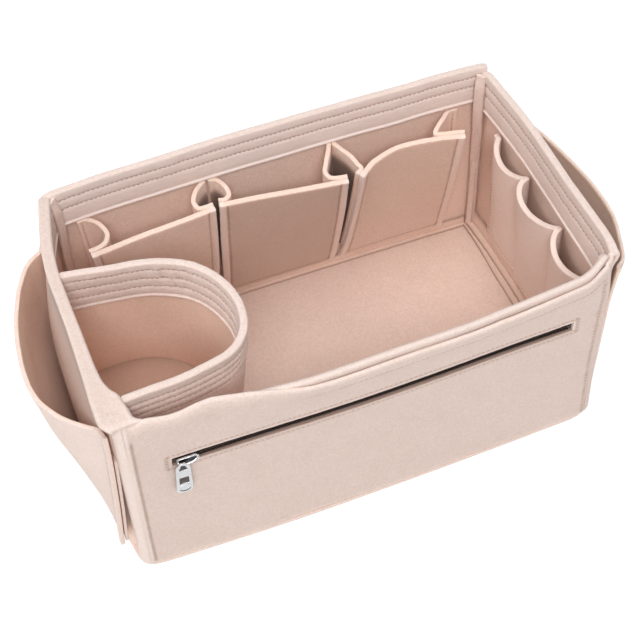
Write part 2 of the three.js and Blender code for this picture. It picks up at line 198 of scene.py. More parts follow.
class Sheet:
    """A piece of felt: a grid of points down its middle, thickened both ways, with soft cut edges."""

    def __init__(
        self, name, us, vs, mid, t=FELT, ra=0.0, rb=0.0, hole=None, soft=0.9, flat=0.66, fuzz=0.16, pale_and_shade=0.0, painted_bounce=0.0, seed=1
    ):
        self.name, self.us, self.vs = name, us, vs
        nu, nv = len(us), len(vs)
        du = np.gradient(mid, us, axis=0)
        dv = np.gradient(mid, vs, axis=1)
        normal = unit(np.cross(du, dv))
        tu, tv = unit(du), unit(dv)
        U, V = np.meshgrid(us, vs, indexing="ij")
        d = np.minimum(np.minimum(U - us[0], us[-1] - U), np.minimum(V - vs[0], vs[-1] - V))
        cells = np.ones((nu - 1, nv - 1), bool)
        if hole is not None:
            u0, u1, v0, v1 = hole
            ox = np.maximum(np.maximum(u0 - U, U - u1), 0)
            oy = np.maximum(np.maximum(v0 - V, V - v1), 0)
            d = np.minimum(d, np.hypot(ox, oy))
            cu, cv = (us[1:] + us[:-1]) / 2, (vs[1:] + vs[:-1]) / 2
            inside = ((cu > u0) & (cu < u1))[:, None] & ((cv > v0) & (cv < v1))[None, :]
            cells &= ~inside
        self.cells = cells
        k = np.clip(d / np.asarray(soft, float), 0, 1)
        half = t / 2 * (flat + (1 - flat) * np.sqrt(1 - (1 - k) ** 2))
        # a cut felt edge isn't quite straight
        rough = fuzz * np.exp(-d / 1.2)
        mid = mid + (rough * noise(mid, 2.3, seed))[..., None] * tu
        mid = mid + (rough * noise(mid, 2.3, seed + 7))[..., None] * tv
        fade = step01(d / 2.0)
        ra = np.broadcast_to(np.asarray(ra, float), d.shape) * fade
        rb = np.broadcast_to(np.asarray(rb, float), d.shape) * fade
        self.N = normal
        self.A = mid + normal * (half + ra)[..., None]
        self.B = mid - normal * (half + rb)[..., None]
        self.mid = mid
        ia = np.arange(nu * nv).reshape(nu, nv)
        ib = ia + nu * nv
        c = cells
        top = np.stack([ia[:-1, :-1], ia[1:, :-1], ia[1:, 1:], ia[:-1, 1:]], -1)[c]
        low = np.stack([ib[:-1, :-1], ib[:-1, 1:], ib[1:, 1:], ib[1:, :-1]], -1)[c]
        quads = [top, low]
        pad_u = np.zeros((nu + 1, nv - 1), bool)
        pad_u[1:-1] = c
        pad_v = np.zeros((nu - 1, nv + 1), bool)
        pad_v[:, 1:-1] = c
        at = pad_u[1:] & ~pad_u[:-1]  # the piece starts here, going up in u
        i, j = np.nonzero(at)
        quads.append(np.stack([ia[i, j], ia[i, j + 1], ib[i, j + 1], ib[i, j]], -1))
        at = ~pad_u[1:] & pad_u[:-1]
        i, j = np.nonzero(at)
        quads.append(np.stack([ia[i, j + 1], ia[i, j], ib[i, j], ib[i, j + 1]], -1))
        at = pad_v[:, 1:] & ~pad_v[:, :-1]
        i, j = np.nonzero(at)
        quads.append(np.stack([ia[i + 1, j], ia[i, j], ib[i, j], ib[i + 1, j]], -1))
        at = ~pad_v[:, 1:] & pad_v[:, :-1]
        i, j = np.nonzero(at)
        quads.append(np.stack([ia[i, j], ia[i + 1, j], ib[i + 1, j], ib[i, j]], -1))
        # cut edges are paler; where the relief sinks along sewn rows, painted shade darkens the felt
        cut = np.exp(-d / 0.9)
        shade_and_pale = pale_and_shade if isinstance(pale_and_shade, tuple) else (pale_and_shade, pale_and_shade)
        pale_and_shade_a = cut + np.minimum(ra, 0) * 0.9 + shade_and_pale[0]
        pale_and_shade_b = cut + np.minimum(rb, 0) * 0.9 + shade_and_pale[1]
        self.verts = np.concatenate([self.A.reshape(-1, 3), self.B.reshape(-1, 3)])
        self.quads = np.concatenate(quads)
        self.pale_and_shade = np.concatenate([pale_and_shade_a.ravel(), pale_and_shade_b.ravel()])
        shape = (nu, nv)
        both = painted_bounce if isinstance(painted_bounce, tuple) else (painted_bounce, painted_bounce)
        self.painted_bounce = np.concatenate([np.broadcast_to(np.asarray(w, float), shape).ravel() for w in both])
        self.count = nu * nv

    def object(self):
        return make(self.name, self.verts, self.quads, self.pale_and_shade, painted_bounce=self.painted_bounce)

    def along_u(self, v, side="A", u0=None, u1=None):
        """The line on the surface at v, from u0 to u1, with its normals."""
        j = int(np.argmin(abs(self.vs - v)))
        keep = np.ones(len(self.us), bool)
        if u0 is not None:
            keep &= self.us >= u0
        if u1 is not None:
            keep &= self.us <= u1
        S, sign = (self.A, 1) if side == "A" else (self.B, -1)
        return S[keep, j], sign * self.N[keep, j]

    def along_v(self, u, side="A", v0=None, v1=None):
        i = int(np.argmin(abs(self.us - u)))
        keep = np.ones(len(self.vs), bool)
        if v0 is not None:
            keep &= self.vs >= v0
        if v1 is not None:
            keep &= self.vs <= v1
        S, sign = (self.A, 1) if side == "A" else (self.B, -1)
        return S[i, keep], sign * self.N[i, keep]


STITCH_PITCH = 3.1


def stitches(name, lines, length=2.0, radius=0.34, lift=0.08, pitch=STITCH_PITCH):
    """Rows of lockstitch: short thread lengths that dive into the felt at both ends."""
    ang = np.arange(6) / 6 * 2 * math.pi
    xs = np.array([-0.5, -0.44, -0.24, 0.0, 0.24, 0.44, 0.5]) * length
    rs = np.array([0.4, 0.8, 1.0, 1.05, 1.0, 0.8, 0.4]) * radius
    dip = np.array([-1.7, -0.9, -0.1, 0.12, -0.1, -0.9, -1.7]) * radius
    ring = np.stack([np.zeros(6), np.cos(ang), np.sin(ang)], -1)
    body = np.concatenate(
        [ring * r + np.array([x, 0, z]) for x, r, z in zip(xs, rs, dip)]
    )
    q = []
    for k in range(6):
        for s in range(6):
            n = (s + 1) % 6
            q.append((k * 6 + s, k * 6 + n, k * 6 + 6 + n, k * 6 + 6 + s))
    q += [(3, 2, 1, 0), (5, 4, 3, 0)]
    e = 36
    q += [(e, e + 1, e + 2, e + 3), (e, e + 3, e + 4, e + 5)]
    q = np.array(q)
    verts, quads, start = [], [], 0
    for pts, nrm in lines:
        seg = np.linalg.norm(np.diff(pts, axis=0), axis=1)
        s = np.concatenate([[0], np.cumsum(seg)])
        n = int((s[-1] - 1.0) // pitch)
        if n < 1:
            continue
        at = (s[-1] - n * pitch) / 2 + (np.arange(n) + 0.5) * pitch
        c = np.stack([np.interp(at, s, pts[:, k]) for k in range(3)], -1)
        a = np.stack([np.interp(at - 0.6, s, pts[:, k]) for k in range(3)], -1)
        b = np.stack([np.interp(at + 0.6, s, pts[:, k]) for k in range(3)], -1)
        nn = unit(np.stack([np.interp(at, s, nrm[:, k]) for k in range(3)], -1))
        t = unit(b - a)
        side = unit(np.cross(nn, t))
        nn = np.cross(t, side)
        # each stitch leans a little, as a sewn row does
        lean = 0.10 + 0.05 * noise(c, 5.0, 3)[:, None]
        t2 = unit(t + side * lean)
        s2 = np.cross(nn, t2)
        c = c + nn * lift
        v = (
            c[:, None]
            + body[None, :, 0:1] * t2[:, None]
            + body[None, :, 1:2] * s2[:, None]
            + body[None, :, 2:3] * nn[:, None]
        )
        verts.append(v.reshape(-1, 3))
        quads.append(
            (q[None] + (start + np.arange(n) * len(body))[:, None, None]).reshape(-1, 4)
        )
        start += n * len(body)
    return make(name, np.concatenate(verts), np.concatenate(quads))


def seam(V, rows, depth=0.55, width=0.8):
    """How far sewn rows at those places pull the surface in."""
    out = np.zeros_like(V)
    for r in rows:
        out -= depth * np.exp(-(((V - r) / width) ** 2))
    return out


# --------------------------------------------------------------------------
# Materials
# --------------------------------------------------------------------------


def new_material(name):
    m = bpy.data.materials.new(name)
    m.use_nodes = True
    nt = m.node_tree
    nt.nodes.clear()
    out = nt.nodes.new("ShaderNodeOutputMaterial")
    bsdf = nt.nodes.new("ShaderNodeBsdfPrincipled")
    nt.links.new(bsdf.outputs[0], out.inputs[0])
    return m, nt, bsdf


def tex_noise(nt, coord, scale, detail=2.0, rough=0.55, distort=0.0):
    n = nt.nodes.new("ShaderNodeTexNoise")
    n.inputs["Scale"].default_value = scale
    n.inputs["Detail"].default_value = detail
    n.inputs["Roughness"].default_value = rough
    n.inputs["Distortion"].default_value = distort
    nt.links.new(coord, n.inputs["Vector"])
    return n.outputs[0]


def math_node(nt, op, a, b=None, clamp=False):
    n = nt.nodes.new("ShaderNodeMath")
    n.operation = op
    n.use_clamp = clamp
    for k, v in enumerate((a, b)):
        if v is None:
            continue
        if isinstance(v, (int, float)):
            n.inputs[k].default_value = v
        else:
            nt.links.new(v, n.inputs[k])
    return n.outputs[0]


def mix_color(nt, fac, a, b):
    n = nt.nodes.new("ShaderNodeMix")
    n.data_type = "RGBA"
    for sock, v in ((n.inputs[0], fac), (n.inputs[6], a), (n.inputs[7], b)):
        if isinstance(v, (int, float)):
            sock.default_value = v
        elif isinstance(v, tuple):
            sock.default_value = (*v, 1.0)
        else:
            nt.links.new(v, sock)
    return n.outputs[2]


def felt_material(name, dark, light, edge, deep):
    """Needle-punched felt: mottled tone, short tangled fibres and a soft sheen. A vertex attribute makes it paler above
    zero, as at cut edges and where light is painted on, and paints shade below zero: in sewn grooves, gaps and pockets,
    near black where deepest.
    """
    m, nt, bsdf = new_material(name)
    coord = nt.nodes.new("ShaderNodeTexCoord").outputs["Object"]
    fine = tex_noise(nt, coord, 1150, 3.0, 0.7, 0.5)
    lump = tex_noise(nt, coord, 480, 2.0, 0.5, 0.8)
    cloud = tex_noise(nt, coord, 45, 2.0, 0.5)
    tone = math_node(nt, "MULTIPLY", math_node(nt, "SUBTRACT", fine, 0.5), 2.4)
    tone = math_node(nt, "ADD", tone, math_node(nt, "MULTIPLY", math_node(nt, "SUBTRACT", lump, 0.5), 1.0))
    tone = math_node(nt, "ADD", tone, math_node(nt, "MULTIPLY", math_node(nt, "SUBTRACT", cloud, 0.5), 0.35))
    tone = math_node(nt, "ADD", tone, 0.5, clamp=True)
    colour = mix_color(nt, tone, dark, light)
    # painted bounce light: a vertex attribute mixes in the warmer tone that light bounced between felt surfaces gives
    inner = nt.nodes.new("ShaderNodeAttribute")
    inner.attribute_name = "painted_bounce"
    colour = mix_color(nt, inner.outputs["Fac"], colour, mix_color(nt, tone, PAINTED_BOUNCE_DARK, PAINTED_BOUNCE_LIGHT))
    pale_and_shade = nt.nodes.new("ShaderNodeAttribute")
    pale_and_shade.attribute_name = "pale_and_shade"
    # above zero the felt is paler: at cut edges, and where light is painted on
    pale = math_node(nt, "MULTIPLY", pale_and_shade.outputs["Fac"], 0.15, clamp=True)
    colour = mix_color(nt, pale, colour, edge)
    # below zero it is painted shade, mixed towards the shade colour
    painted_shade = math_node(nt, "MULTIPLY", pale_and_shade.outputs["Fac"], -0.9, clamp=True)
    colour = mix_color(nt, painted_shade, colour, deep)
    # well below zero the painted shade goes near black
    painted_deep_shade = math_node(nt, "SUBTRACT", -1.2, pale_and_shade.outputs["Fac"], clamp=True)
    colour = mix_color(nt, painted_deep_shade, colour, (0.10, 0.062, 0.048))
    nt.links.new(colour, bsdf.inputs["Base Color"])
    bsdf.inputs["Roughness"].default_value = 0.93
    bsdf.inputs["Specular IOR Level"].default_value = 0.18
    bsdf.inputs["Sheen Weight"].default_value = 0.22
    bsdf.inputs["Sheen Roughness"].default_value = 0.5
    bsdf.inputs["Sheen Tint"].default_value = (1.0, 0.93, 0.88, 1.0)
    fibre = tex_noise(nt, coord, 1900, 2.0, 0.7, 1.6)
    height = math_node(nt, "ADD", math_node(nt, "MULTIPLY", fibre, 0.6), math_node(nt, "MULTIPLY", lump, 0.9))
    bump = nt.nodes.new("ShaderNodeBump")
    bump.inputs["Strength"].default_value = 0.6
    bump.inputs["Distance"].default_value = 0.0009
    nt.links.new(height, bump.inputs["Height"])
    nt.links.new(bump.outputs[0], bsdf.inputs["Normal"])
    return m


def thread_material(name, dark, light):
    m, nt, bsdf = new_material(name)
    coord = nt.nodes.new("ShaderNodeTexCoord").outputs["Object"]
    n = tex_noise(nt, coord, 2600, 2.0)
    colour = mix_color(nt, n, dark, light)
    nt.links.new(colour, bsdf.inputs["Base Color"])
    bsdf.inputs["Roughness"].default_value = 0.6
    bsdf.inputs["Sheen Weight"].default_value = 0.15
    return m


def tape_material(name, dark, light):
    m, nt, bsdf = new_material(name)
    coord = nt.nodes.new("ShaderNodeTexCoord").outputs["Object"]
    sep = nt.nodes.new("ShaderNodeSeparateXYZ")
    nt.links.new(coord, sep.inputs[0])
    # twill: fine diagonal ribs with a thread across them
    diag = math_node(nt, "ADD", sep.outputs["X"], sep.outputs["Z"])
    rib = math_node(nt, "SINE", math_node(nt, "MULTIPLY", diag, 2 * math.pi / 0.0009))
    weft = math_node(nt, "SINE", math_node(nt, "MULTIPLY", sep.outputs["X"], 2 * math.pi / 0.0006))
    weave = math_node(nt, "ADD", math_node(nt, "MULTIPLY", rib, 0.35), math_node(nt, "MULTIPLY", weft, 0.2))
    weave = math_node(nt, "ADD", weave, 0.5, clamp=True)
    soft = tex_noise(nt, coord, 700, 2.0)
    fac = math_node(nt, "MULTIPLY", weave, math_node(nt, "ADD", soft, 0.4), clamp=True)
    colour = mix_color(nt, fac, dark, light)
    nt.links.new(colour, bsdf.inputs["Base Color"])
    bsdf.inputs["Roughness"].default_value = 0.85
    bsdf.inputs["Specular IOR Level"].default_value = 0.05
    bump = nt.nodes.new("ShaderNodeBump")
    bump.inputs["Strength"].default_value = 0.6
    bump.inputs["Distance"].default_value = 0.0003
    nt.links.new(weave, bump.inputs["Height"])
    nt.links.new(bump.outputs[0], bsdf.inputs["Normal"])
    return m


def coil_material(name, dark, light):
    """A nylon coil in its own colour, painted near black above 109.1 mm: painted shade under the slot's upper lip,
    which covers all of the upper row.
    """
    m, nt, bsdf = new_material(name)
    coord = nt.nodes.new("ShaderNodeTexCoord").outputs["Object"]
    n = tex_noise(nt, coord, 900, 2.0)
    sep = nt.nodes.new("ShaderNodeSeparateXYZ")
    nt.links.new(coord, sep.inputs[0])
    outwards = math_node(nt, "MULTIPLY", math_node(nt, "SUBTRACT", 0.1091, sep.outputs["Z"]), 2200.0, clamp=True)
    colour = mix_color(nt, outwards, (0.002, 0.0014, 0.0012), mix_color(nt, n, dark, light))
    nt.links.new(colour, bsdf.inputs["Base Color"])
    bsdf.inputs["Roughness"].default_value = 0.75
    bsdf.inputs["Specular IOR Level"].default_value = 0.01
    return m


def chrome_material():
    m, nt, bsdf = new_material("zip_metal")
    coord = nt.nodes.new("ShaderNodeTexCoord").outputs["Object"]
    n = tex_noise(nt, coord, 420, 3.0, 0.6)
    colour = mix_color(nt, n, (0.52, 0.52, 0.53), (0.70, 0.70, 0.705))
    nt.links.new(colour, bsdf.inputs["Base Color"])
    bsdf.inputs["Metallic"].default_value = 1.0
    rough = math_node(nt, "ADD", math_node(nt, "MULTIPLY", n, 0.16), 0.14)
    nt.links.new(rough, bsdf.inputs["Roughness"])
    return m


# painted bounce light: the colours the felt takes where light bounces from felt to felt
PAINTED_BOUNCE_DARK, PAINTED_BOUNCE_LIGHT = (0.800, 0.558, 0.424), (0.945, 0.703, 0.560)  # felt inside, where it picks up colour from itself
# the last colour is the one that painted shade mixes towards
felt = felt_material(
    "felt", (0.705, 0.540, 0.460), (0.845, 0.682, 0.600), (0.895, 0.755, 0.680), (0.34, 0.208, 0.156)
)
thread = thread_material("thread", (0.40, 0.27, 0.205), (0.55, 0.39, 0.31))
pale_thread = thread_material("thread_pale", (0.60, 0.45, 0.38), (0.76, 0.60, 0.52))
# the upper tape is painted near black as painted shade; the lower tape keeps its brown
tape_mats = {
    "upper": tape_material("zip_tape_shaded", (0.006, 0.004, 0.0035), (0.018, 0.012, 0.010)),
    "lower": tape_material("zip_tape", (0.085, 0.060, 0.050), (0.19, 0.142, 0.122)),
}
coil_mat = coil_material("zip_coil", (0.15, 0.088, 0.066), (0.30, 0.20, 0.16))
metal = chrome_material()


def dark_material(name, dark, light):
    m, nt, bsdf = new_material(name)
    coord = nt.nodes.new("ShaderNodeTexCoord").outputs["Object"]
    n = tex_noise(nt, coord, 900, 2.0)
    colour = mix_color(nt, n, dark, light)
    nt.links.new(colour, bsdf.inputs["Base Color"])
    bsdf.inputs["Metallic"].default_value = 0.6
    bsdf.inputs["Roughness"].default_value = 0.35
    return m


shade_metal = dark_material("zip_painted_shade_metal", (0.008, 0.007, 0.007), (0.026, 0.023, 0.022))
window_shade_metal = dark_material("zip_window_painted_shade", (0.035, 0.022, 0.018), (0.085, 0.058, 0.048))


def finish_piece(ob, body, material, slot, *nodes):
    ob.data.materials.clear()
    ob.data.materials.append(material)
    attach(ob, body)
    if nodes:
        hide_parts(*nodes)
    return ob


def felt_piece(sheet, *nodes, body="shell"):
    return finish_piece(sheet.object(), body, felt, "felt", *nodes)


def sewn(name, lines, body="shell", yarn=None, **kw):
    return finish_piece(stitches(name, lines, **kw), body, yarn or thread, "felt")


# --------------------------------------------------------------------------
# The outer form: where each wall's outer face stands
# --------------------------------------------------------------------------


def corner_x(z):
    """Half length to the right-hand corners, and to the back left one."""
    return 157.0 - 7.0 * z / RIM_Z


def corner_left(z):
    """Half length to the front left corner, which spreads more at its foot."""
    return 160.4 - 10.4 * z / RIM_Z


def corner_y(z):
    return 92.5 - 3.5 * z / RIM_Z


def left_x(y, z):
    k = np.clip(y / corner_y(z), -1, 1)
    rim = cubic(
        k * 89, [-89, -81, -67, -48, -21, 8, 25, 42, 62, 82, 89], [152.0, 153.2, 153.8, 154.0, 154.6, 156.0, 157.0, 156.2, 153.6, 150.0, 148.8]
    )
    low = cubic(
        k * 93, [-93, -83, -71, -40, 0, 40, 70, 93], [160.4, 161.8, 164.2, 166.4, 166.8, 165.2, 161.0, 154.5]
    )
    # between its foot and its rim the wall swells outwards
    belly = cubic(k * 91, [-91, -80, -62, -40, 0, 35, 60, 80, 91], [0, 0.8, 5.0, 8.6, 9.4, 8.6, 6.0, 1.5, 0])
    belly = belly * cubic(z, [0, 25, 60, 95, 125, 145, 160], [0, 0.4, 0.85, 1.0, 0.62, 0.25, 0])
    return -(lerp(low, rim, z / RIM_Z) + belly)


def right_x(y, z):
    k = np.clip(y / corner_y(z), -1, 1)
    rim = cubic(k * 89, [-89, -60, -20, 20, 60, 89], [-0.5, 2.2, 4.0, 4.2, 2.4, 0])
    low = cubic(k * 93, [-93, -80, -50, 0, 50, 93], [0.5, 3.0, 5.0, 5.5, 4.0, 0.5])
    # towards the front the band leans outwards
    lean = cubic(k * 89, [-89, -79, -68, -56, -43, -31, -18, 89], [1.4, 3.3, 3.3, 2.8, 2.0, 1.2, 0.4, 0])
    return corner_x(z) + lerp(low, rim, z / RIM_Z) + lean * step01((z - 112) / 48)


def back_y(x, z):
    k = np.clip(x / corner_x(z), -1, 1)
    rim = cubic(k * 150, [-150, -100, 0, 100, 150], [0, 3.2, 5.4, 3.8, 1.8])
    low = cubic(k * 154, [-154, -100, 0, 100, 154], [0, 0.8, 1.4, 0.8, 0])
    return corner_y(z) + lerp(low, rim, step01(z / RIM_Z))


def front_y(x, z):
    x, z = np.broadcast_arrays(np.asarray(x, float), np.asarray(z, float))
    k = np.clip(x / np.where(x < 0, corner_left(z), corner_x(z)), -1, 1)
    shape = (
        cubic(
            k * 150,
            [-150, -134, -102, -71, -36, 24, 81, 119, 141, 150],
            [0, 1.8, 4.6, 6.8, 8.2, 8.0, 6.6, 4.6, 1.8, 0],
        )
        / 8.2
    )
    amount = cubic(z, [0, 40, 75, 116, 135, 150, 160], [4.0, 2.4, 1.6, 1.7, 3.8, 6.6, 8.0])
    foot = (2.4 + 1.2 * step01((k - 0.75) / 0.25)) * np.clip(1 - z / 70, 0, 1) ** 1.5
    return -(corner_y(z) + shape * amount + foot)


# --------------------------------------------------------------------------
# Walls that fold over at the rim
# --------------------------------------------------------------------------

ROW_DEPTHS = (7.4, 15.6)  # sewn rows, measured down from the rim
BAND = 31.0  # how far the fold reaches down inside


def folded_wall(
    name, us, along, outer, out, z0, rim_half, band=BAND, top=RIM_Z, rise=None, seed=1, rows=ROW_DEPTHS, step=2.6, painted_bounce_in=0.55, pucker=None, t=2.6, hang=None, crumple=None, rows_out=None, shade=None, shade_in=None, lip=0.0, band_painted_light=0.45, rim_painted_shade=0.0, painted_bounce_out=0.0
):
    """A sheet of felt that goes up as a wall, turns over at the rim and hangs inside as a band.

    outer(a, z) gives the outer face, out(a, z) its outward direction, along(us) the place along the wall,
    rim_half(us) half of the fold's width at its middle line, rise(us) how far the rim stands above top,
    pucker(us) how much the sewn rows gather the felt, hang(us) the share of the band's depth that hangs there.
    """
    a = along(us)
    h = t / 2
    R = np.broadcast_to(rim_half(us), us.shape)[:, None]
    R0 = 2.0
    rise_ = 0.0 if rise is None else rise(us)[:, None]
    hang_ = 1.0 if hang is None else hang(us)[:, None]
    crown = 1.1  # height of the turned-over edge above the straight part
    s1 = top - h - crown - z0
    s2 = s1 + math.pi * R0
    s3 = s2 + band - h - crown
    rows_out = [top - q - z0 for q in (rows if rows_out is None else rows_out)]
    rows_in = [s2 + q - h - crown for q in rows]
    vs = axis(0, s3, step, rows=[*rows_out, *rows_in, s3 - 3.2])
    vs = np.array(sorted(set(np.round(np.concatenate([vs, np.linspace(s1, s2, 15)]), 4))))
    vs = vs[np.concatenate([[True], np.diff(vs) > 0.05])]
    U, V = np.meshgrid(us, vs, indexing="ij")
    z_up = z0 + (top - h - crown + rise_ - z0) * np.clip(V / s1, 0, 1)
    theta = np.clip((V - s1) / (s2 - s1), 0, 1) * math.pi
    down = np.maximum(V - s2, 0) * hang_
    # the turn: half a flattened ellipse as wide as the fold
    power = 2 / (2.2 + 0.45 * np.clip(R - 1.3, 0, 4))
    c = np.sign(np.cos(theta)) * np.abs(np.cos(theta)) ** power
    n = -h - R * (1 - c)
    z = z_up + crown * np.abs(np.sin(theta)) ** power - down
    # lower down the band lies closer to the wall
    close = step01(down / (band * 0.6))
    n = n + close * np.maximum(2 * R - t - 0.05, 0) * (R < 2.4)
    # the fold stands out over the wall's outer face
    n = n + lip * step01((V - (s1 - 3.0)) / 3.0) * (1 - step01((theta - 0.9) / 1.6))
    A = np.broadcast_to(a[:, None], U.shape)
    base = outer(A, np.minimum(z, top))
    o = out(A, np.minimum(z, top))
    mid = base + n[..., None] * o
    mid[..., 2] = z
    # the felt waves a little
    wave = 0.55 * noise(mid, 46, seed) + 0.25 * noise(mid, 19, seed + 1)
    wave = wave * step01(V / 20)
    mid = mid + wave[..., None] * o
    mid[..., 2] += 0.35 * noise(np.stack([U, U * 0, U * 0], -1), 38, seed + 2) * step01((V - s1 * 0.8) / (s1 * 0.2))
    if crumple is not None:
        fold = crumple(us)[:, None] * np.sin(np.clip(theta, 0, math.pi))
        mid[..., 2] += fold * (0.9 * noise(mid, 5.0, seed + 5) + 0.5 * noise(mid, 2.6, seed + 6) - 0.5)
        mid[..., 0] += crumple(us)[:, None] * (theta > 1.2) * 1.3 * noise(mid, 4.2, seed + 8)
    relief = seam(V, rows_in, 0.62, 0.9) + seam(V, rows_out, 0.5, 0.8)
    # the fold is pressed flat, so its two corners are firm
    relief += 0.42 * (np.exp(-(((theta - 0.75) / 0.33) ** 2)) + np.exp(-(((theta - 2.39) / 0.33) ** 2)))
    for r0, r1 in zip(rows_out[1:], rows_out[:-1]):
        relief += 0.45 * np.exp(-(((V - (r0 + r1) / 2) / ((r1 - r0) * 0.36)) ** 2))
    # the lanes between the rows swell, and the raw edge below the last one stands up as a narrow ridge
    ends = [s2 - 0.5, *rows_in, s3 - 3.2]
    for r0, r1 in zip(ends[:-1], ends[1:]):
        relief += 0.3 * np.exp(-(((V - (r0 + r1) / 2) / ((r1 - r0) * 0.36)) ** 2))
    relief += 0.8 * step01((V - (s3 - 3.6)) / 1.1) - 0.35 * np.exp(-(((V - (s3 - 4.0)) / 0.7) ** 2))
    near = sum(np.exp(-np.abs(V - r) / 2.4) for r in (*rows_in, *rows_out))
    amount = 0.34 if pucker is None else pucker(us)[:, None]
    relief += amount * np.minimum(near, 1) * noise(np.stack([U, V * 0.22, U * 0], -1), 2.9, seed + 3)
    relief += 0.2 * np.minimum(near, 1) * noise(np.stack([U, V, U * 0], -1), 6.5, seed + 4)
    relief = relief * np.where(V > s2, np.clip((hang_ - 0.25) / 0.5, 0, 1), 1.0)
    turned = step01((theta - 2.2) / 0.9)
    # painted light makes the turned-in band paler; painted shade darkens the top of the fold, the outer face (shade)
    # and the inner face (shade_in)
    shade_and_pale = band_painted_light * turned + rim_painted_shade * np.exp(-(((theta - 1.57) / 0.9) ** 2))
    if shade is not None:
        shade_and_pale = shade_and_pale - shade(z) * (theta < 0.6)
    painted_shade_inside = 0 * shade_and_pale if shade_in is None else -shade_in(A, z) * (V < s1)
    # painted bounce light warms the inner face more the further it is below the rim, and warms the outer face below 146
    # mm
    sheet = Sheet(
        name, us, vs, mid, t=t, ra=relief, pale_and_shade=(shade_and_pale, painted_shade_inside), painted_bounce=(painted_bounce_out * step01((146 - z) / 14) * (V < s1), painted_bounce_in * step01((top - z) / 40)), seed=seed
    )
    sheet.rows_in, sheet.rows_out = rows_in, rows_out
    sheet.length = s3
    return sheet


def direction(x, y):
    return lambda a, z: np.broadcast_to(np.array([x, y, 0.0]), (*np.shape(a), 3))


def rim_rows(sheet, trim=3.0):
    u0, u1 = sheet.us[0] + trim, sheet.us[-1] - trim
    return [sheet.along_u(r, "A", u0, u1) for r in (*sheet.rows_in, *sheet.rows_out)]


def xyz(x, y, z):
    x, y, z = np.broadcast_arrays(x, y, z)
    return np.stack([x, y, z], -1).astype(float)


# Left wall: it runs from the front corner to the back wall. Near the front corner its fold
# spreads into the flat folded corner that takes the end of the bottle holder.


def left_outer(a, z):
    lift = step01((z - 147) / 9)
    y = np.where(a < 0, a * corner_y(z) / 89, a) - 6.0 * lift * step01((-66 - a) / 15)
    x = left_x(np.maximum(y, -88.9), z) + 4.5 * lift * np.clip((-80 - y) / 8, 0, 1.2) ** 2
    x = x + 2.6 * step01((-74 - y) / 6) * (1 - lift)
    return xyz(x, y, z)


LEFT_Y = (-81.4, 87.6)
us = axis(0, LEFT_Y[1] - LEFT_Y[0], 1.7)
left_wall = folded_wall(
    "left_wall_felt",
    us,
    lambda u: LEFT_Y[1] - u,
    left_outer,
    direction(-1, 0),
    3.15,
    lambda u: cubic(LEFT_Y[1] - u, [-84, -75, -69, -62, -54, -40, -20, 0, 88], [6.8, 6.8, 6.2, 4.0, 2.7, 2.0, 1.6, 1.4, 1.35]),
    rise=lambda u: -2.2 * np.clip(1 - u / 7, 0, 1) ** 2,
    seed=11,
    hang=lambda u: 1 - 0.86 * step01((-40 - (LEFT_Y[1] - u)) / 16),
    crumple=lambda u: step01((-64 - (LEFT_Y[1] - u)) / 8),
    rows_out=(),
    # painted shade on the outer face behind the slip pocket, darkest under the rim; a little painted shade on the
    # fold's top, painted bounce light on the outer face
    shade=lambda z: (0.52 + 0.48 * step01((z - 136) / 18)) * step01((158.6 - z) / 2.0) * step01((z - 28) / 18),
    lip=1.9,
    rim_painted_shade=-0.16,
    painted_bounce_out=0.8,
)
left_ob = felt_piece(left_wall, "left_wall", "left_rim_band")
sewn("left_wall_stitches", rim_rows(left_wall))

RIGHT_Y = (-81.4, 87.6)
DIVIDERS = (63.0, 20.0, -25.5, -69.0)  # where the scalloped strip is sewn down


def behind_strip(y, z):
    """Painted shade on the wall behind the scalloped strip: darkest where each of its pockets starts."""
    t = np.zeros_like(y)
    for y0, y1 in zip(DIVIDERS[:-1], DIVIDERS[1:]):
        t = np.where((y <= y0) & (y > y1), (y0 - y) / (y0 - y1), t)
    within = step01((DIVIDERS[0] - y) / 1.5) * step01((y - DIVIDERS[-1]) / 1.5)
    return (0.7 - 0.6 * step01(t / 0.55)) * within * step01((124 - z) / 8)


def right_outer(a, z):
    y = np.where(a < 0, a * corner_y(z) / 89, a)
    # its front end turns in to meet the panel that wraps the corner
    return xyz(right_x(y, z) - 2.6 * step01((-74 - y) / 6) * (1 - step01((z - 147) / 9)), y, z)


us = axis(0, RIGHT_Y[1] - RIGHT_Y[0], 1.7)
right_wall = folded_wall(
    "right_wall_felt",
    us,
    lambda u: RIGHT_Y[0] + u,
    right_outer,
    direction(1, 0),
    3.15,
    lambda u: cubic(RIGHT_Y[0] + u, [-84, -76, -66, 88], [1.8, 1.4, 1.1, 1.1]),
    rise=lambda u: -3.8 * np.clip(1 - (RIGHT_Y[1] - RIGHT_Y[0] - u) / 9, 0, 1) ** 2,
    band=34.0,
    rows=(8.8, 17.6),
    # painted shade on the wall behind the strip, painted light on the turned-in band
    shade_in=behind_strip,
    band_painted_light=2.6,
    crumple=lambda u: 0.7 * step01((-73 - (RIGHT_Y[0] + u)) / 6),
    seed=21,
)
right_ob = felt_piece(right_wall, "right_wall", "right_rim_band")
sewn("right_wall_stitches", rim_rows(right_wall))

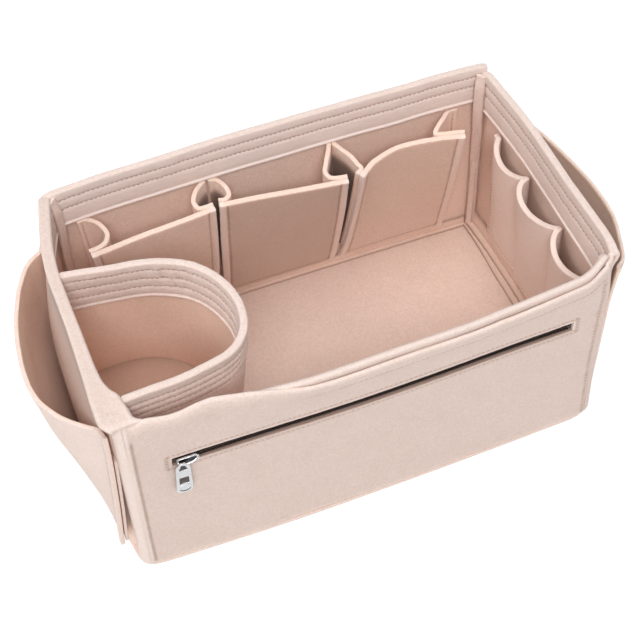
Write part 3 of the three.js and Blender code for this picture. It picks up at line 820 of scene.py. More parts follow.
us = axis(0, 304, 1.7)
back_wall = folded_wall(
    "back_wall_felt",
    us,
    lambda u: 152 - u,
    lambda a, z: xyz(a / 152 * (corner_x(z) - 0.2), back_y(a, z), z),
    direction(0, 1),
    3.15,
    lambda u: 1.2 - 0.1 * np.clip(1 - np.minimum(u, 304 - u) / 5, 0, 1) ** 2,
    rise=lambda u: -3.0 * np.clip(1 - (304 - u) / 9, 0, 1) ** 2 + 2.2 * step01((70 - u) / 60) - 1.2 * np.clip(1 - u / 6, 0, 1) ** 2,
    # painted light on the turned-in band
    band_painted_light=4.6,
    seed=31,
)
back_ob = felt_piece(back_wall, "back_wall", "back_rim_band")
sewn(
    "back_wall_stitches",
    rim_rows(back_wall, 7.0)
    + [back_wall.along_v(u, "A", 4, 150) for u in (7.0, 297.0)],
)

# --------------------------------------------------------------------------
# Front: the zipped panel outside and a plain layer inside, sewn together at the rim
# --------------------------------------------------------------------------

SLOT = (-121.0, 125.0, 107.2, 114.8)
FRONT_TOP = 158.4
WRAP = 7.0  # radius of the turn at the two front corners
TAIL = 0.5


def zip_bow(x):
    """How far the middle of the zip stands forward of its two ends."""
    return 1.7 * np.sin(math.pi * np.clip((x + 104) / 212, 0, 1)) ** 2


arc = WRAP * math.pi / 2
half_u = 150.0 - WRAP + arc + TAIL
stitch_u = [SLOT[0] - 3.4, SLOT[1] + 3.4, -141.0, 142.0]
stitch_z = [SLOT[2] - 3.2, SLOT[3] + 3.2, 147.5]
us = axis(-half_u - 4.2, half_u, 2.0, rows=stitch_u, edges=SLOT[:2])  # at the left it reaches in behind the end wall
turn = np.linspace(150 - WRAP, 150 - WRAP + arc, 8)
us = np.array(sorted(set([*us, *turn, *(-turn)])))
us = us[np.concatenate([[True], np.diff(us) > 0.05])]
vs = axis(3.15, FRONT_TOP, 2.4, rows=stitch_z, edges=SLOT[2:])


def rim_sag(x, z):
    """How the front's rim hangs a little lower and further out between the corners."""
    s = step01((x + 100) / 62) * (0.45 + 0.55 * step01((125 - x) / 75)) * step01((146 - x) / 14) * step01((z - 121) / 32)
    return xyz(0 * s, -2.2 * s, -3.4 * s)


U, V = np.meshgrid(us, vs, indexing="ij")
au = np.abs(U)
uc = 150 - WRAP
corner = np.where(U < 0, corner_left(V), corner_x(V))
flat_x = np.minimum(au, uc) / uc * (corner - WRAP)
phi = np.clip((au - uc) / WRAP, 0, math.pi / 2)
tail = np.maximum(au - uc - arc, 0)
r = WRAP - 1.5
X = np.sign(U) * (flat_x + r * np.sin(phi)) + 1.3 * step01(tail / 3) * (U < 0)
end_y = front_y(np.sign(U) * corner, V)
Y = np.where(au <= uc, front_y(np.sign(U) * flat_x, V) + 1.5, end_y + WRAP - r * np.cos(phi) + tail)
mid = xyz(X, Y, V)
# the felt stands out a little along the zip, and its rim is not quite straight
mid[..., 1] -= zip_bow(X) * np.exp(-(((V - 112) / np.where(V > 112, 26, 13)) ** 2))
mid[..., 1] -= (
    (0.5 * noise(mid, 52, 41) + 0.25 * noise(mid, 21, 42))
    * step01((au < uc) * (uc - au) / 12)
    * step01(abs(V - 111) / 14)
)
sway = 0.7 * noise(np.stack([X, 0 * X, 0 * X], -1), 44, 47) + 0.3 * noise(np.stack([X, 0 * X, 0 * X], -1), 17, 48)
mid[..., 1] -= sway * step01((V - 138) / 20) * step01((uc - au) / 20)
# under the folded corner the top of the panel is pressed down
corner_drop = 3.2 * step01((-X - 131) / 9)
# to the right the panel's top edge is sewn a little below the rim, and at the right end both curl up
lower = 3.2 * step01((X + 66) / 46) - 3.2 * step01((X - 128) / 20)
mid[..., 2] -= (corner_drop + 0.5 * sway + lower + 5.0 * step01(tail / 2)) * step01((V - 128) / (FRONT_TOP - 128))
mid += rim_sag(X, V)
# to the left it is turned in over the layer behind it, and waves there
wave = 1.5 * np.exp(-(((X + 118) / 11) ** 2)) - 0.9 * np.exp(-(((X + 94) / 10) ** 2))
over = step01((-X - 40) / 40)
turned = np.clip((V - 151) / (FRONT_TOP - 151), 0, 1) ** 2
mid[..., 1] += 3.2 * over * turned - wave * step01((V - 138) / 20) + 3.0 * step01((U - 126) / 22) * step01((V - 125) / 30)
mid[..., 2] += over * (1.4 * step01((V - 128) / 30) - 0.6 * turned) - 0.5 * wave * step01((V - 138) / 20)
relief = np.zeros_like(U)
box_u = (U > SLOT[0] - 3.4) & (U < SLOT[1] + 3.4)
box_v = (V > SLOT[2] - 3.2) & (V < SLOT[3] + 3.2)
relief += seam(V, stitch_z[:2], 0.5, 0.75) * box_u
relief += seam(U, stitch_u[:2], 0.5, 0.75) * box_v
# the felt is pressed thinner between the sewn box and the slot
relief += -0.22 * box_u * box_v
relief += seam(V, stitch_z[2:], 0.55, 0.9) * step01((144 - au) / 3) * step01((X + 60) / 40)
relief += seam(U, stitch_u[2:], 0.6, 0.9) * step01((148 - V) / 6)
gather = noise(np.stack([U, V * 0.2, U * 0], -1), 3.0, 49) * np.exp(-abs(V - stitch_z[2]) / 2.5)
gather += noise(np.stack([U * 0.2, V, U * 0], -1), 3.0, 50) * np.exp(-abs(au - 141.5) / 2.5)
relief += 0.2 * gather
# ridges of the layers that lie under the wrapped corners
ridge = np.exp(-(((au - 145.4) / 1.2) ** 2)) + 0.9 * np.exp(-(((au - 149.2) / 1.2) ** 2))
relief += 0.5 * ridge * step01((125 - V) / 70)
top_soft = np.where(V > 150, 2.6, 1.3)
in_slot = (U > SLOT[0] - 1.0) & (U < SLOT[1] + 1.0)
# painted shade on the slot's lower lip, under the upper one
slot_lip_shade = np.exp(-np.maximum(SLOT[2] - V, 0) / 0.5) * (V <= SLOT[2] + 0.01) * in_slot
lip_high = np.exp(-(((V - SLOT[3] - 1.5) / 0.8) ** 2)) * in_slot
relief += 0.35 * lip_high
# painted shade darkens the slot's lower lip and, a little, the whole panel; the panel is paler at its left end, where
# it turns in
front_panel = Sheet(
    "front_zip_panel_felt", us, vs, mid, ra=relief, hole=SLOT, soft=top_soft, flat=0.42, pale_and_shade=-1.8 * slot_lip_shade - 0.2 + 1.8 * step01((-U - 142) / 2), seed=43
)
front_ob = felt_piece(front_panel, "front_zip_panel")
sewn(
    "front_panel_stitches",
    [
        front_panel.along_u(stitch_z[0], "A", stitch_u[0], stitch_u[1]),
        front_panel.along_u(stitch_z[1], "A", stitch_u[0], stitch_u[1]),
        front_panel.along_v(stitch_u[0], "A", stitch_z[0], stitch_z[1]),
        front_panel.along_v(stitch_u[1], "A", stitch_z[0], stitch_z[1]),
        front_panel.along_u(stitch_z[2], "A", -40, 142),
        front_panel.along_v(stitch_u[3], "A", 5, 147),
    ],
    yarn=pale_thread,
)
sewn("front_corner_stitches", [front_panel.along_v(stitch_u[2], "A", 5, 147)])

us = axis(-146.5, 146.5, 2.0)
vs = axis(3.2, RIM_Z, 2.6, rows=[147.5])
U, V = np.meshgrid(us, vs, indexing="ij")
X = U * np.where(U < 0, corner_left(V), corner_x(V)) / 150
gap = -0.15 + 5.0 * step01((138 - V) / 55)
Y = front_y(X, V) + FELT + gap + 1.6
mid = xyz(X, Y, V)
mid[..., 1] += 0.4 * noise(mid, 44, 45) * step01((140 - V) / 30)
sway = 0.7 * noise(np.stack([X, 0 * X, 0 * X], -1), 44, 47) + 0.3 * noise(np.stack([X, 0 * X, 0 * X], -1), 17, 48)
mid[..., 1] -= sway * step01((V - 138) / 20) * step01((143 - abs(U)) / 20)
corner_drop = 3.4 * step01((-X - 131) / 9)
mid[..., 2] -= (corner_drop + 0.5 * sway - 1.4 * step01((X - 124) / 18) + 3.0 * np.clip((U - 142.5) / 4, 0, 1) ** 2) * step01((V - 128) / 30)
wave = 1.5 * np.exp(-(((X + 118) / 11) ** 2)) - 0.9 * np.exp(-(((X + 94) / 10) ** 2))
mid[..., 1] -= wave * step01((V - 138) / 20)
mid[..., 2] -= (3.6 * step01((-X - 40) / 40) + 0.5 * wave) * step01((V - 128) / 30)
mid[..., 1] += 5.5 * np.clip((U - 126) / 20.5, 0, 1) ** 1.6 * step01((V - 120) / 35)
mid += rim_sag(X, V)
relief = seam(V, [147.5], 0.6, 0.9) + 1.1 * step01((V - 150) / 5)
# painted shade: a dark line just under the crest of the fold, above the zipped panel's top edge
below = -1.0 * np.exp(-(((mid[..., 2] - 156.2 - rim_sag(X, V)[..., 2] + 0.5 * sway) / 0.9) ** 2)) * step01((X + 66) / 40)
relief += 0.2 * noise(np.stack([U, V * 0.2, U * 0], -1), 3.0, 44) * np.exp(-abs(V - 147.5) / 2.5)
# painted shade: the face towards the zipped panel is near black inside the zip pocket, round the slot's height; the
# room side gets painted bounce light
front_inner = Sheet(
    "front_wall_felt", us, vs, mid, t=3.2, rb=relief, soft=np.where(V > 150, 2.2, 1.4), flat=0.3, pale_and_shade=(below - 2.2 * np.exp(-(((V - 106) / 12) ** 4)), 0.0), painted_bounce=(0.0, 0.6 * step01((150 - V) / 20)), seed=46
)
front_inner_ob = felt_piece(front_inner, "front_wall", "front_rim_fold")
sewn("front_wall_stitches", [front_inner.along_u(147.5, "B", -130, 143)])

# --------------------------------------------------------------------------
# Base
# --------------------------------------------------------------------------


def outline(z, inset, n=90):
    """Points round the outer form at height z, moved inwards by inset, with rounded corners."""
    t = np.linspace(-1, 1, n)
    cx, cy = corner_x(z), corner_y(z)
    sides = [
        xyz(lerp(-corner_left(z), cx, (t + 1) / 2), front_y(lerp(-corner_left(z), cx, (t + 1) / 2), z), z),
        xyz(right_x(t * cy, z), t * cy, z),
        xyz(-t * cx, back_y(-t * cx, z), z),
        xyz(left_x(-t * cy, z), -t * cy, z),
    ]
    ring = np.concatenate([s[:-1] for s in sides])
    for _ in range(10):  # rounds the corners
        ring = 0.5 * ring + 0.25 * (np.roll(ring, 1, 0) + np.roll(ring, -1, 0))
    tangent = unit(np.roll(ring, -1, 0) - np.roll(ring, 1, 0))
    inward = np.stack([-tangent[:, 1], tangent[:, 0], 0 * tangent[:, 0]], -1)
    return ring + inward * inset


def base_mesh():
    ring = outline(0.0, 0.0)
    n = len(ring)
    insets = [0.0, 0.15, 0.45, 0.9, 1.5, 4.0, 5.0, 5.6, 6.2, 7.2, 12, 24]
    shares = [0.75, 0.55, 0.4, 0.28, 0.16, 0.06]
    rings, heights = [], []
    for i in insets:
        t = unit(np.roll(ring, -1, 0) - np.roll(ring, 1, 0))
        inward = np.stack([-t[:, 1], t[:, 0], 0 * t[:, 0]], -1)
        near = min(i, 6.0)
        rings.append((ring + inward * near) * np.array([1 - (i - near) / 150, 1 - (i - near) / 86, 1.0]))
        k = min(i / 1.5, 1)
        heights.append(BASE_TOP / 2 * (0.45 + 0.55 * math.sqrt(1 - (1 - k) ** 2)))
    inner = rings[-1]
    for s in shares:
        rings.append(inner * s)
        heights.append(BASE_TOP / 2)
    verts, quads = [], []
    pale_and_shade = []
    for side in (1, -1):
        for q, (rg, h) in enumerate(zip(rings, heights)):
            v = rg.copy()
            dip = 0.4 * math.exp(-(((insets[q] - 5.3) / 0.6) ** 2)) if q < len(insets) and side < 0 else 0
            v[:, 2] = BASE_TOP / 2 + side * (h - dip)
            verts.append(v)
            pale_and_shade.append(np.full(n, math.exp(-insets[q] / 0.9) if q < len(insets) else 0.0))
    m = len(rings)
    idx = np.arange(n)
    nxt = (idx + 1) % n
    for q in range(m - 1):
        a, b = q * n, (q + 1) * n
        quads.append(np.stack([a + idx, a + nxt, b + nxt, b + idx], -1))
        a, b = (m + q) * n, (m + q + 1) * n
        quads.append(np.stack([a + nxt, a + idx, b + idx, b + nxt], -1))
    quads.append(np.stack([m * n + idx, m * n + nxt, nxt, idx], -1))
    caps = [(m - 1) * n + idx, (2 * m - 1) * n + idx[::-1]]
    # painted bounce light on the top face
    painted_bounce = np.concatenate([np.full(m * n, 0.3), np.zeros(m * n)])
    return make("base_panel_felt", np.concatenate(verts), np.concatenate(quads), np.concatenate(pale_and_shade), caps, painted_bounce=painted_bounce)


base_ob = finish_piece(base_mesh(), "shell", felt, "felt", "base_panel")
ring = outline(0.0, 5.3)
ring = np.concatenate([ring, ring[:1]])
ring[:, 2] = 0.38
sewn("base_stitches", [(ring, np.tile([0.0, 0.0, -1.0], (len(ring), 1)))], lift=0.0)

# --------------------------------------------------------------------------
# Seam allowances inside: corner columns and floor strips
# --------------------------------------------------------------------------


def ribbon(name, path, across, width, t=2.8, seed=1, bow=0.0, wob=0.3, fuzz=0.14, edge=0.0, painted_bounce=0.0, pale_and_shade=0.0):
    """A narrow strip of felt along a path. across gives the direction of its width at each point."""
    path = np.asarray(path, float)
    seg = np.linalg.norm(np.diff(path, axis=0), axis=1)
    s = np.concatenate([[0], np.cumsum(seg)])
    us = axis(0, s[-1], 2.4)
    c = np.stack([np.interp(us, s, path[:, k]) for k in range(3)], -1)
    ac = np.asarray(across, float)
    if ac.ndim == 1:
        ac = np.tile(ac, (len(path), 1))
    ac = unit(np.stack([np.interp(us, s, ac[:, k]) for k in range(3)], -1))
    vs = axis(-width / 2, width / 2, 1.6)
    tangent = unit(np.gradient(c, us, axis=0))
    face = unit(np.cross(tangent, ac))
    mid = c[:, None] + vs[None, :, None] * ac[:, None]
    arch = bow * (1 - (2 * vs / width) ** 2)
    sway = wob * noise(np.stack([us, us * 0, us * 0], -1), 17, seed)
    mid = mid + (arch[None, :] + sway[:, None])[..., None] * face[:, None]
    d = np.minimum(vs - vs[0], vs[-1] - vs)[None, :] + 0 * us[:, None]
    # painted shade darkens both long edges by edge
    return Sheet(name, us, vs, mid, t=t, soft=1.2, flat=0.5, fuzz=fuzz, pale_and_shade=pale_and_shade - edge * np.exp(-d / 0.8), painted_bounce=painted_bounce, seed=seed)


def joined(name, sheets):
    verts, quads, pale_and_shade, start = [], [], [], 0
    for s in sheets:
        verts.append(s.verts)
        quads.append(s.quads + start)
        pale_and_shade.append(s.pale_and_shade)
        start += len(s.verts)
    return make(name, np.concatenate(verts), np.concatenate(quads), np.concatenate(pale_and_shade), painted_bounce=np.concatenate([s.painted_bounce for s in sheets]))


def corner_path(sx, sy, z, dx, dy):
    """Points up an inner corner, moved dx, dy into the room."""
    cx = corner_x(z) - FELT - dx
    cy = corner_y(z) - FELT - dy
    return xyz(sx * cx, sy * cy, z)


def diagonal(name, sx, sy, z0, z1, deep, width, seed, t=2.4, bow=0.35, turn=1.0):
    """A strip that stands in an inner corner and faces the room; deep(z) is its place in from both walls."""
    z = np.linspace(z0, z1, 60)
    d = deep(z)
    path = corner_path(sx, sy, z, d, d)
    # its edges get painted shade and its face painted bounce light
    return ribbon(name, path, np.array([1.0, -sx * sy * turn, 0.0]), width, t=t, seed=seed, bow=bow * sx * sy, wob=0.35, fuzz=0.25, edge=1.3, painted_bounce=0.15)


for sx, name in ((-1, "left"), (1, "right")):
    face = diagonal("a", sx, 1, 3.3, 158.0, lambda z: 3.4 + 1.4 * step01((z - 95) / 40) - 1.8 * step01((z - 146) / 12), 7.0, 51)
    low = diagonal("b", sx, 1, 3.3, 92.0, lambda z: 5.6 - 1.2 * step01(z / 60) - 2.6 * step01((z - 60) / 32), 4.6, 53, t=2.4, turn=0.55)
    finish_piece(
        joined(f"corner_seam_back_{name}_felt", [face, low]), "shell", felt, "felt", f"corner_seam_back_{name}"
    )

# front corners: the left one is buried under the folded corner, the right one ends in a small turned tab
zs = np.linspace(6.0, 146.0, 36)
a = ribbon("a", corner_path(-1, -1, zs, 6.0, 12.2), np.array([1.0, 1.0, 0]) / math.sqrt(2), 7.0, t=3.0, seed=55)
finish_piece(joined("corner_seam_front_left_felt", [a]), "shell", felt, "felt", "corner_seam_front_left")
zs = np.linspace(6.0, 157.5, 50)
into = 7.4 - 2.8 * step01((zs - 120) / 30)
a = ribbon("a", corner_path(1, -1, zs, into, 8.6 - 3.0 * step01((zs - 120) / 30)), np.array([1.0, 1.0, 0]) / math.sqrt(2), 7.0, t=3.2, seed=57, bow=0.6, fuzz=0.25)
finish_piece(joined("corner_seam_front_right_felt", [a]), "shell", felt, "felt", "corner_seam_front_right")

# floor strips: the turned-in seam allowance of each wall, in steps, some with painted shade along their edges and
# painted bounce light
ys = np.linspace(-79, 85, 60)
strips = [
    ribbon("s", xyz(right_x(ys, 4.0) - FELT - 8.0 + 2.6 * step01((ys - 20) / 65), ys, 4.3), np.array([1.0, 0, 0.06]), 10.4, t=2.4, seed=61, edge=1.9, painted_bounce=0.5),
    ribbon("s", xyz(right_x(ys, 4.0) - FELT - 5.0, ys, 6.5), np.array([1.0, 0, 0.1]), 7.6, t=2.6, seed=62, edge=1.9, painted_bounce=0.5, bow=0.4),
    ribbon("s", xyz(right_x(ys, 12.0) - FELT - 1.9, ys, 11.5), np.array([0.16, 0, 1.0]), 9.0, t=2.8, seed=65, edge=1.7, painted_bounce=0.5),
]
finish_piece(joined("floor_seam_right_felt", strips), "shell", felt, "felt", "floor_seam_right")
strips = [
    ribbon("s", xyz(left_x(ys, 4.0) + FELT + 5.4, ys, 4.5), np.array([1.0, 0, -0.12]), 9.0, t=2.6, seed=67),
    ribbon("s", xyz(left_x(ys, 10.0) + FELT + 1.9, ys, 10.5), np.array([-0.1, 0, 1.0]), 9.0, t=2.8, seed=68),
]
finish_piece(joined("floor_seam_left_felt", strips), "shell", felt, "felt", "floor_seam_left")
xs = np.linspace(-146, 146, 80)
strips = [
    ribbon("s", xyz(xs, back_y(xs, 4.0) - FELT - 3.0, 4.2), np.array([0, 1.0, 0.1]), 5.0, t=2.2, seed=71, edge=1.8, painted_bounce=0.6),
    ribbon("s", xyz(xs, back_y(xs, 8.0) - FELT - 1.6, 7.4), np.array([0, 0.1, 1.0]), 5.0, t=2.4, seed=72, edge=1.6, painted_bounce=0.6),
]
finish_piece(joined("floor_seam_back_felt", strips), "shell", felt, "felt", "floor_seam_back")
fy = front_y(xs, 4.0) + FELT + 8.2
strips = [
    ribbon("s", xyz(xs, fy + 4.2, 4.5), np.array([0, 1.0, -0.1]), 7.0, t=2.6, seed=75),
    ribbon("s", xyz(xs, fy + 1.7, 8.6), np.array([0, -0.1, 1.0]), 6.0, t=2.6, seed=76),
]
finish_piece(joined("floor_seam_front_felt", strips), "shell", felt, "felt", "floor_seam_front")

# --------------------------------------------------------------------------
# Back pockets: three standing panels on bellows gussets
# --------------------------------------------------------------------------

POCKET_TOP = 127.0
POCKET_FOOT = 12.0
HINGE = (88.4, 16.5)
EDGE_SEAM = 4.8  # the sewn row stands this far in from each side edge

pockets = {
    1: dict(top_x=(-131.0, -47.8), foot_x=(-126.0, -52.0), top_y=([0, 0.5, 1], [58.3, 62.8, 66.2]), belly=1.5, ease=0.8),
    2: dict(
        top_x=(-44.4, 39.8), foot_x=(-47.2, 38.6), top_y=([0, 0.25, 0.6, 1], [68.2, 65.4, 61.2, 56.4]), belly=2.0, ease=0.8
    ),
    3: dict(
        top_x=(49.0, 126.5), foot_x=(42.6, 125.5), top_y=([0, 0.18, 0.45, 0.78, 1], [56.4, 66.5, 72.0, 69.0, 64.2]), belly=0.5, ease=0.5
    ),
}


def panel_mid(k, s, f):
    """The middle of pocket panel k at share s across and share f up."""
    p = pockets[k]
    s, f = np.broadcast_arrays(s, f)
    xt = lerp(*p["top_x"], s)
    xb = lerp(*p["foot_x"], s)
    yt = cubic(s, *p["top_y"])
    yb = back_y(xb, POCKET_FOOT) - FELT - 3.2
    # the foot is sewn straight, so a curved mouth eases into it
    g = f ** 0.92
    x = lerp(xb, xt, f ** p["ease"])
    y = lerp(yb, yt, g) - p["belly"] * np.sin(math.pi * f) * np.sin(math.pi * s) ** 0.5
    z = lerp(POCKET_FOOT, POCKET_TOP, f)
    return xyz(x, y, z)


panel_sheets = {}
for k, p in pockets.items():
    W = p["top_x"][1] - p["top_x"][0]
    H = POCKET_TOP - POCKET_FOOT
    us = axis(0, W, 1.9, rows=[EDGE_SEAM, W - EDGE_SEAM])
    vs = axis(0, H, 2.4, rows=[5.0])
    U, V = np.meshgrid(us, vs, indexing="ij")
    mid = panel_mid(k, U / W, V / H)
    mid[..., 1] += 0.35 * noise(mid, 27, 80 + k) * step01(V / 25)
    relief = seam(U, [EDGE_SEAM, W - EDGE_SEAM], 0.8, 0.85) + seam(V, [5.0], 0.5, 0.8)
    relief += 0.3 * (np.exp(-(((U - 2.2) / 1.3) ** 2)) + np.exp(-(((W - U - 2.2) / 1.3) ** 2)))
    relief += 0.18 * np.exp(-(((U - EDGE_SEAM) / 3.2) ** 2)) * noise(np.stack([V, U * 0, U * 0], -1), 3.2, 83)
    relief += 0.18 * np.exp(-(((W - U - EDGE_SEAM) / 3.2) ** 2)) * noise(np.stack([V, U * 0, U * 0], -1), 3.2, 84)
    # paler at the side edges; painted shade darkens each panel by its own amount, and painted bounce light warms it
    pale_edge = np.exp(-((np.minimum(U, W - U) / 3.0) ** 2))
    shade_and_pale = 3.0 * pale_edge - (0.12, 0.49, 0.2)[k - 1] * (1 - pale_edge)
    sh = Sheet(f"pocket_panel_{k}_felt", us, vs, mid, ra=relief, t=4.0, painted_bounce=0.7 - 0.4 * pale_edge, pale_and_shade=shade_and_pale, seed=85 + k)
    panel_sheets[k] = sh
    ob = felt_piece(sh, f"pocket_panel_{k}", body=f"pocket_{k}")
    sewn(
        f"pocket_panel_{k}_stitches",
        [
            sh.along_v(EDGE_SEAM, "A", 4, H - 1),
            sh.along_v(W - EDGE_SEAM, "A", 4, H - 1),
            sh.along_u(5.0, "A", 6, W - 6),
        ],
        body=f"pocket_{k}",
    )

# Each gusset runs from its seam on the wall to its panel. The points say where its top edge goes on the way,
# and flange is where its sewn edge ends on the wall, if that shows.
gussets = [
    (1, "left", -128.0, -133.5, [(-123.6, 83.8), (-119.2, 77.6), (-117.8, 69.5), (-120.6, 64.6)]),
    (1, "right", -48.0, None, [(-51.6, 87.0), (-56.8, 81.5), (-59.3, 74.2), (-57.4, 69.6)]),
    (2, "left", -45.3, None, [(-41.0, 88.3), (-37.2, 83.2), (-35.8, 77.5), (-36.4, 73.0)]),
    (2, "right", 38.9, None, [(36.0, 83.6), (31.4, 75.0), (28.0, 67.0), (29.6, 62.8)]),
    (3, "left", 41.6, None, [(45.0, 82.2), (48.4, 75.4), (50.4, 67.5)]),
    (3, "right", 124.8, 130.5, [(118.2, 82.6), (111.2, 76.4), (108.4, 72.8), (112.0, 71.2)]),
]
GUSSET_FOOT = 26.0
GUSSET_T = 3.2


def curve_through(ctrl, t, q):
    """A smooth curve at places q through control points ctrl (first axis) that stand at places t."""
    m = np.gradient(ctrl, t, axis=0)
    k = np.clip(np.searchsorted(t, q) - 1, 0, len(t) - 2)
    shape = (len(q),) + (1,) * (ctrl.ndim - 1)
    h = (t[k + 1] - t[k]).reshape(shape)
    x = ((q - t[k]) / (t[k + 1] - t[k])).reshape(shape)
    return (
        ctrl[k] * (1 + 2 * x) * (1 - x) ** 2
        + m[k] * h * x * (1 - x) ** 2
        + ctrl[k + 1] * x * x * (3 - 2 * x)
        + m[k + 1] * h * x * x * (x - 1)
    )


gusset_sheets = {}
for k, side, xw, x_flange, through in gussets:
    p = pockets[k]
    W = p["top_x"][1] - p["top_x"][0]
    H = POCKET_TOP - POCKET_FOOT
    vs = axis(GUSSET_FOOT, POCKET_TOP + 0.6, 2.4)
    f = (vs - POCKET_FOOT) / H
    rise = np.clip((vs - GUSSET_FOOT) / (POCKET_TOP - GUSSET_FOOT), 0, 1)
    s_edge, s_sew = (0.0, EDGE_SEAM / W) if side == "left" else (1.0, 1 - EDGE_SEAM / W)
    behind = 2.0 + GUSSET_T / 2 + 0.1

    def on_panel(s):
        here = panel_mid(k, s, f)
        left = panel_mid(k, max(s - 0.03, 0), f)
        right = panel_mid(k, min(s + 0.03, 1), f)
        d = unit((right - left)[:, :2])
        return here[:, :2] + behind * np.stack([-d[:, 1], d[:, 0]], -1)

    def on_wall(x):
        return np.stack([np.full_like(vs, x), back_y(x, vs) - FELT - GUSSET_T / 2 - 0.1], -1)

    S, E, wall_pt = on_panel(s_sew), on_panel(s_edge), on_wall(xw)
    ctrl = [wall_pt]
    w_top, s_top = wall_pt[-1], S[-1]
    for pt in np.asarray(through):
        share_ = np.clip((pt - w_top) @ (s_top - w_top) / ((s_top - w_top) @ (s_top - w_top)), 0.02, 0.98)
        off = pt - lerp(w_top, s_top, share_)
        ctrl.append(lerp(wall_pt, S, share_) + off[None, :] * rise[:, None] ** 0.85)
    ctrl += [S, E]
    if x_flange is not None:
        ctrl.insert(0, on_wall(x_flange))
    ctrl = np.stack(ctrl)  # control point, height, xy
    chord = np.linalg.norm(np.diff(ctrl[:, -1], axis=0), axis=1)
    t = np.concatenate([[0], np.cumsum(chord)])
    t_wall = t[0] if x_flange is None else t[1]
    row = [t_wall * 0.5] if x_flange is not None else []
    us = axis(0, t[-1], 1.4, rows=row)
    plan = curve_through(ctrl, t, us)
    U, V = np.meshgrid(us, vs, indexing="ij")
    turn = np.clip((U - t_wall) / (t[-2] - t_wall), 0, 1)
    mid = np.concatenate([plan, V[..., None]], -1)
    mid[..., 2] += 2.4 * (1 - turn) * rise[None, :] ** 4
    relief = seam(U, row, 0.5, 0.8) if row else 0.0
    # two gussets that face each other close up the gap between their pockets; painted shade darkens their faces in that
    # gap
    gap_shade = 1.7 * step01((POCKET_TOP - 5 - V) / 9) * ((k, side) not in ((1, "left"), (3, "right")))
    dark = (-gap_shade, 0 * gap_shade) if side == "left" else (0 * gap_shade, -gap_shade)
    sh = Sheet(f"pocket_gusset_{k}_{side}_felt", us, vs, mid, t=GUSSET_T, ra=relief, rb=relief, painted_bounce=0.7, pale_and_shade=dark, seed=95 + k)
    gusset_sheets[k, side] = sh
    ob = sh.object()
    ob.data.materials.append(felt)
    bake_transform(ob)
    # how far round from the wall to its panel each point of a gusset is, at every height; nothing uses it
    share_ = (turn * turn * (3 - 2 * turn)).ravel()
    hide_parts(f"pocket_gusset_{k}_{side}")
    if row:
        room = "A" if sh.N[2, len(vs) // 2, 1] < 0 else "B"
        sewn(f"pocket_gusset_{k}_{side}_stitches", [sh.along_v(row[0], room, GUSSET_FOOT + 4, POCKET_TOP - 2)])

# --------------------------------------------------------------------------
# Scalloped strip on the right wall
# --------------------------------------------------------------------------

STRIP_FOOT = 19.0
STRIP_TOP = 121.0


def strip_mid(u, f):
    """u runs along the strip from its back end; f is the share of its height."""
    bounds = np.array([63.0 - d for d in DIVIDERS])
    k = np.clip(np.searchsorted(bounds, u, side="right") - 1, 0, 2)
    start = bounds[k] + 4.0 * (k == 0)
    t = np.clip((u - start) / (bounds[k + 1] - start), 0, 1)
    y = 63.0 - u
    dip = np.array([7.5, 8.0, 9.5])[k] * np.sin(math.pi * t**0.85) ** 0.75
    z = lerp(STRIP_FOOT, STRIP_TOP - dip, f)
    size = np.array([7.0, 10.4, 9.2])[k]
    bow = size * np.sin(math.pi * t ** np.array([0.9, 0.62, 0.7])[k]) ** 0.6 * (0.3 + 0.7 * f)
    x = right_x(y, z) - FELT - 1.95 - bow
    return xyz(x, y, z), t


total = DIVIDERS[0] - DIVIDERS[-1]
rows = [63.0 - d for d in DIVIDERS[1:-1]]
us = axis(0, total, 1.5, rows=[2.2, *rows, total - 2.2])
vs = axis(0, STRIP_TOP - STRIP_FOOT, 2.2, rows=[3.5])
U, V = np.meshgrid(us, vs, indexing="ij")
mid, t = strip_mid(U, V / (STRIP_TOP - STRIP_FOOT))
relief = seam(U, rows, 1.0, 1.1) + seam(V, [3.5], 0.6, 0.9)
# paler all over as painted light, with painted bounce light
strip = Sheet("scalloped_strip_felt", us, vs, mid, ra=relief, t=3.8, painted_bounce=0.3, pale_and_shade=1.8, seed=111)
room = "A" if strip.N[len(us) // 2, len(vs) // 2, 0] < 0 else "B"
if room == "B":
    strip = Sheet("scalloped_strip_felt", us, vs, mid, rb=relief, t=3.8, painted_bounce=0.3, pale_and_shade=1.8, seed=111)
strip_ob = felt_piece(strip, "scalloped_pocket_strip")
sewn(
    "scalloped_strip_stitches",
    [strip.along_v(r, room, 2, STRIP_TOP - STRIP_FOOT - 2) for r in (2.2, *rows, total - 2.2)]
    + [strip.along_u(3.5, room, 3, total - 3)],
)

# --------------------------------------------------------------------------
# Bottle holder
# --------------------------------------------------------------------------

HOLDER_TOP = 158.0
HOLDER_FOOT = 49.0
rim_line = np.array(
    [
        (-152.0, 27.5), (-137, 25.2), (-123, 22.5), (-108, 20.0), (-94, 15.5), (-76, 5.0), (-63.5, -12), (-58.5, -33.0),
        (-62.5, -52), (-74, -64.0), (-96, -70.0), (-124, -72.0), (-140, -72.5),
    ]
)
foot_line = np.array(
    [
        (-160.0, 28.0), (-144, 29.5), (-128, 29.5), (-113, 26.5), (-100, 19.5), (-86.5, 6.0), (-78, -11), (-74.5, -31.0),
        (-77.5, -48.0), (-87.0, -60.5), (-104, -68.0), (-128, -71.5), (-150, -72.5),
    ]
)


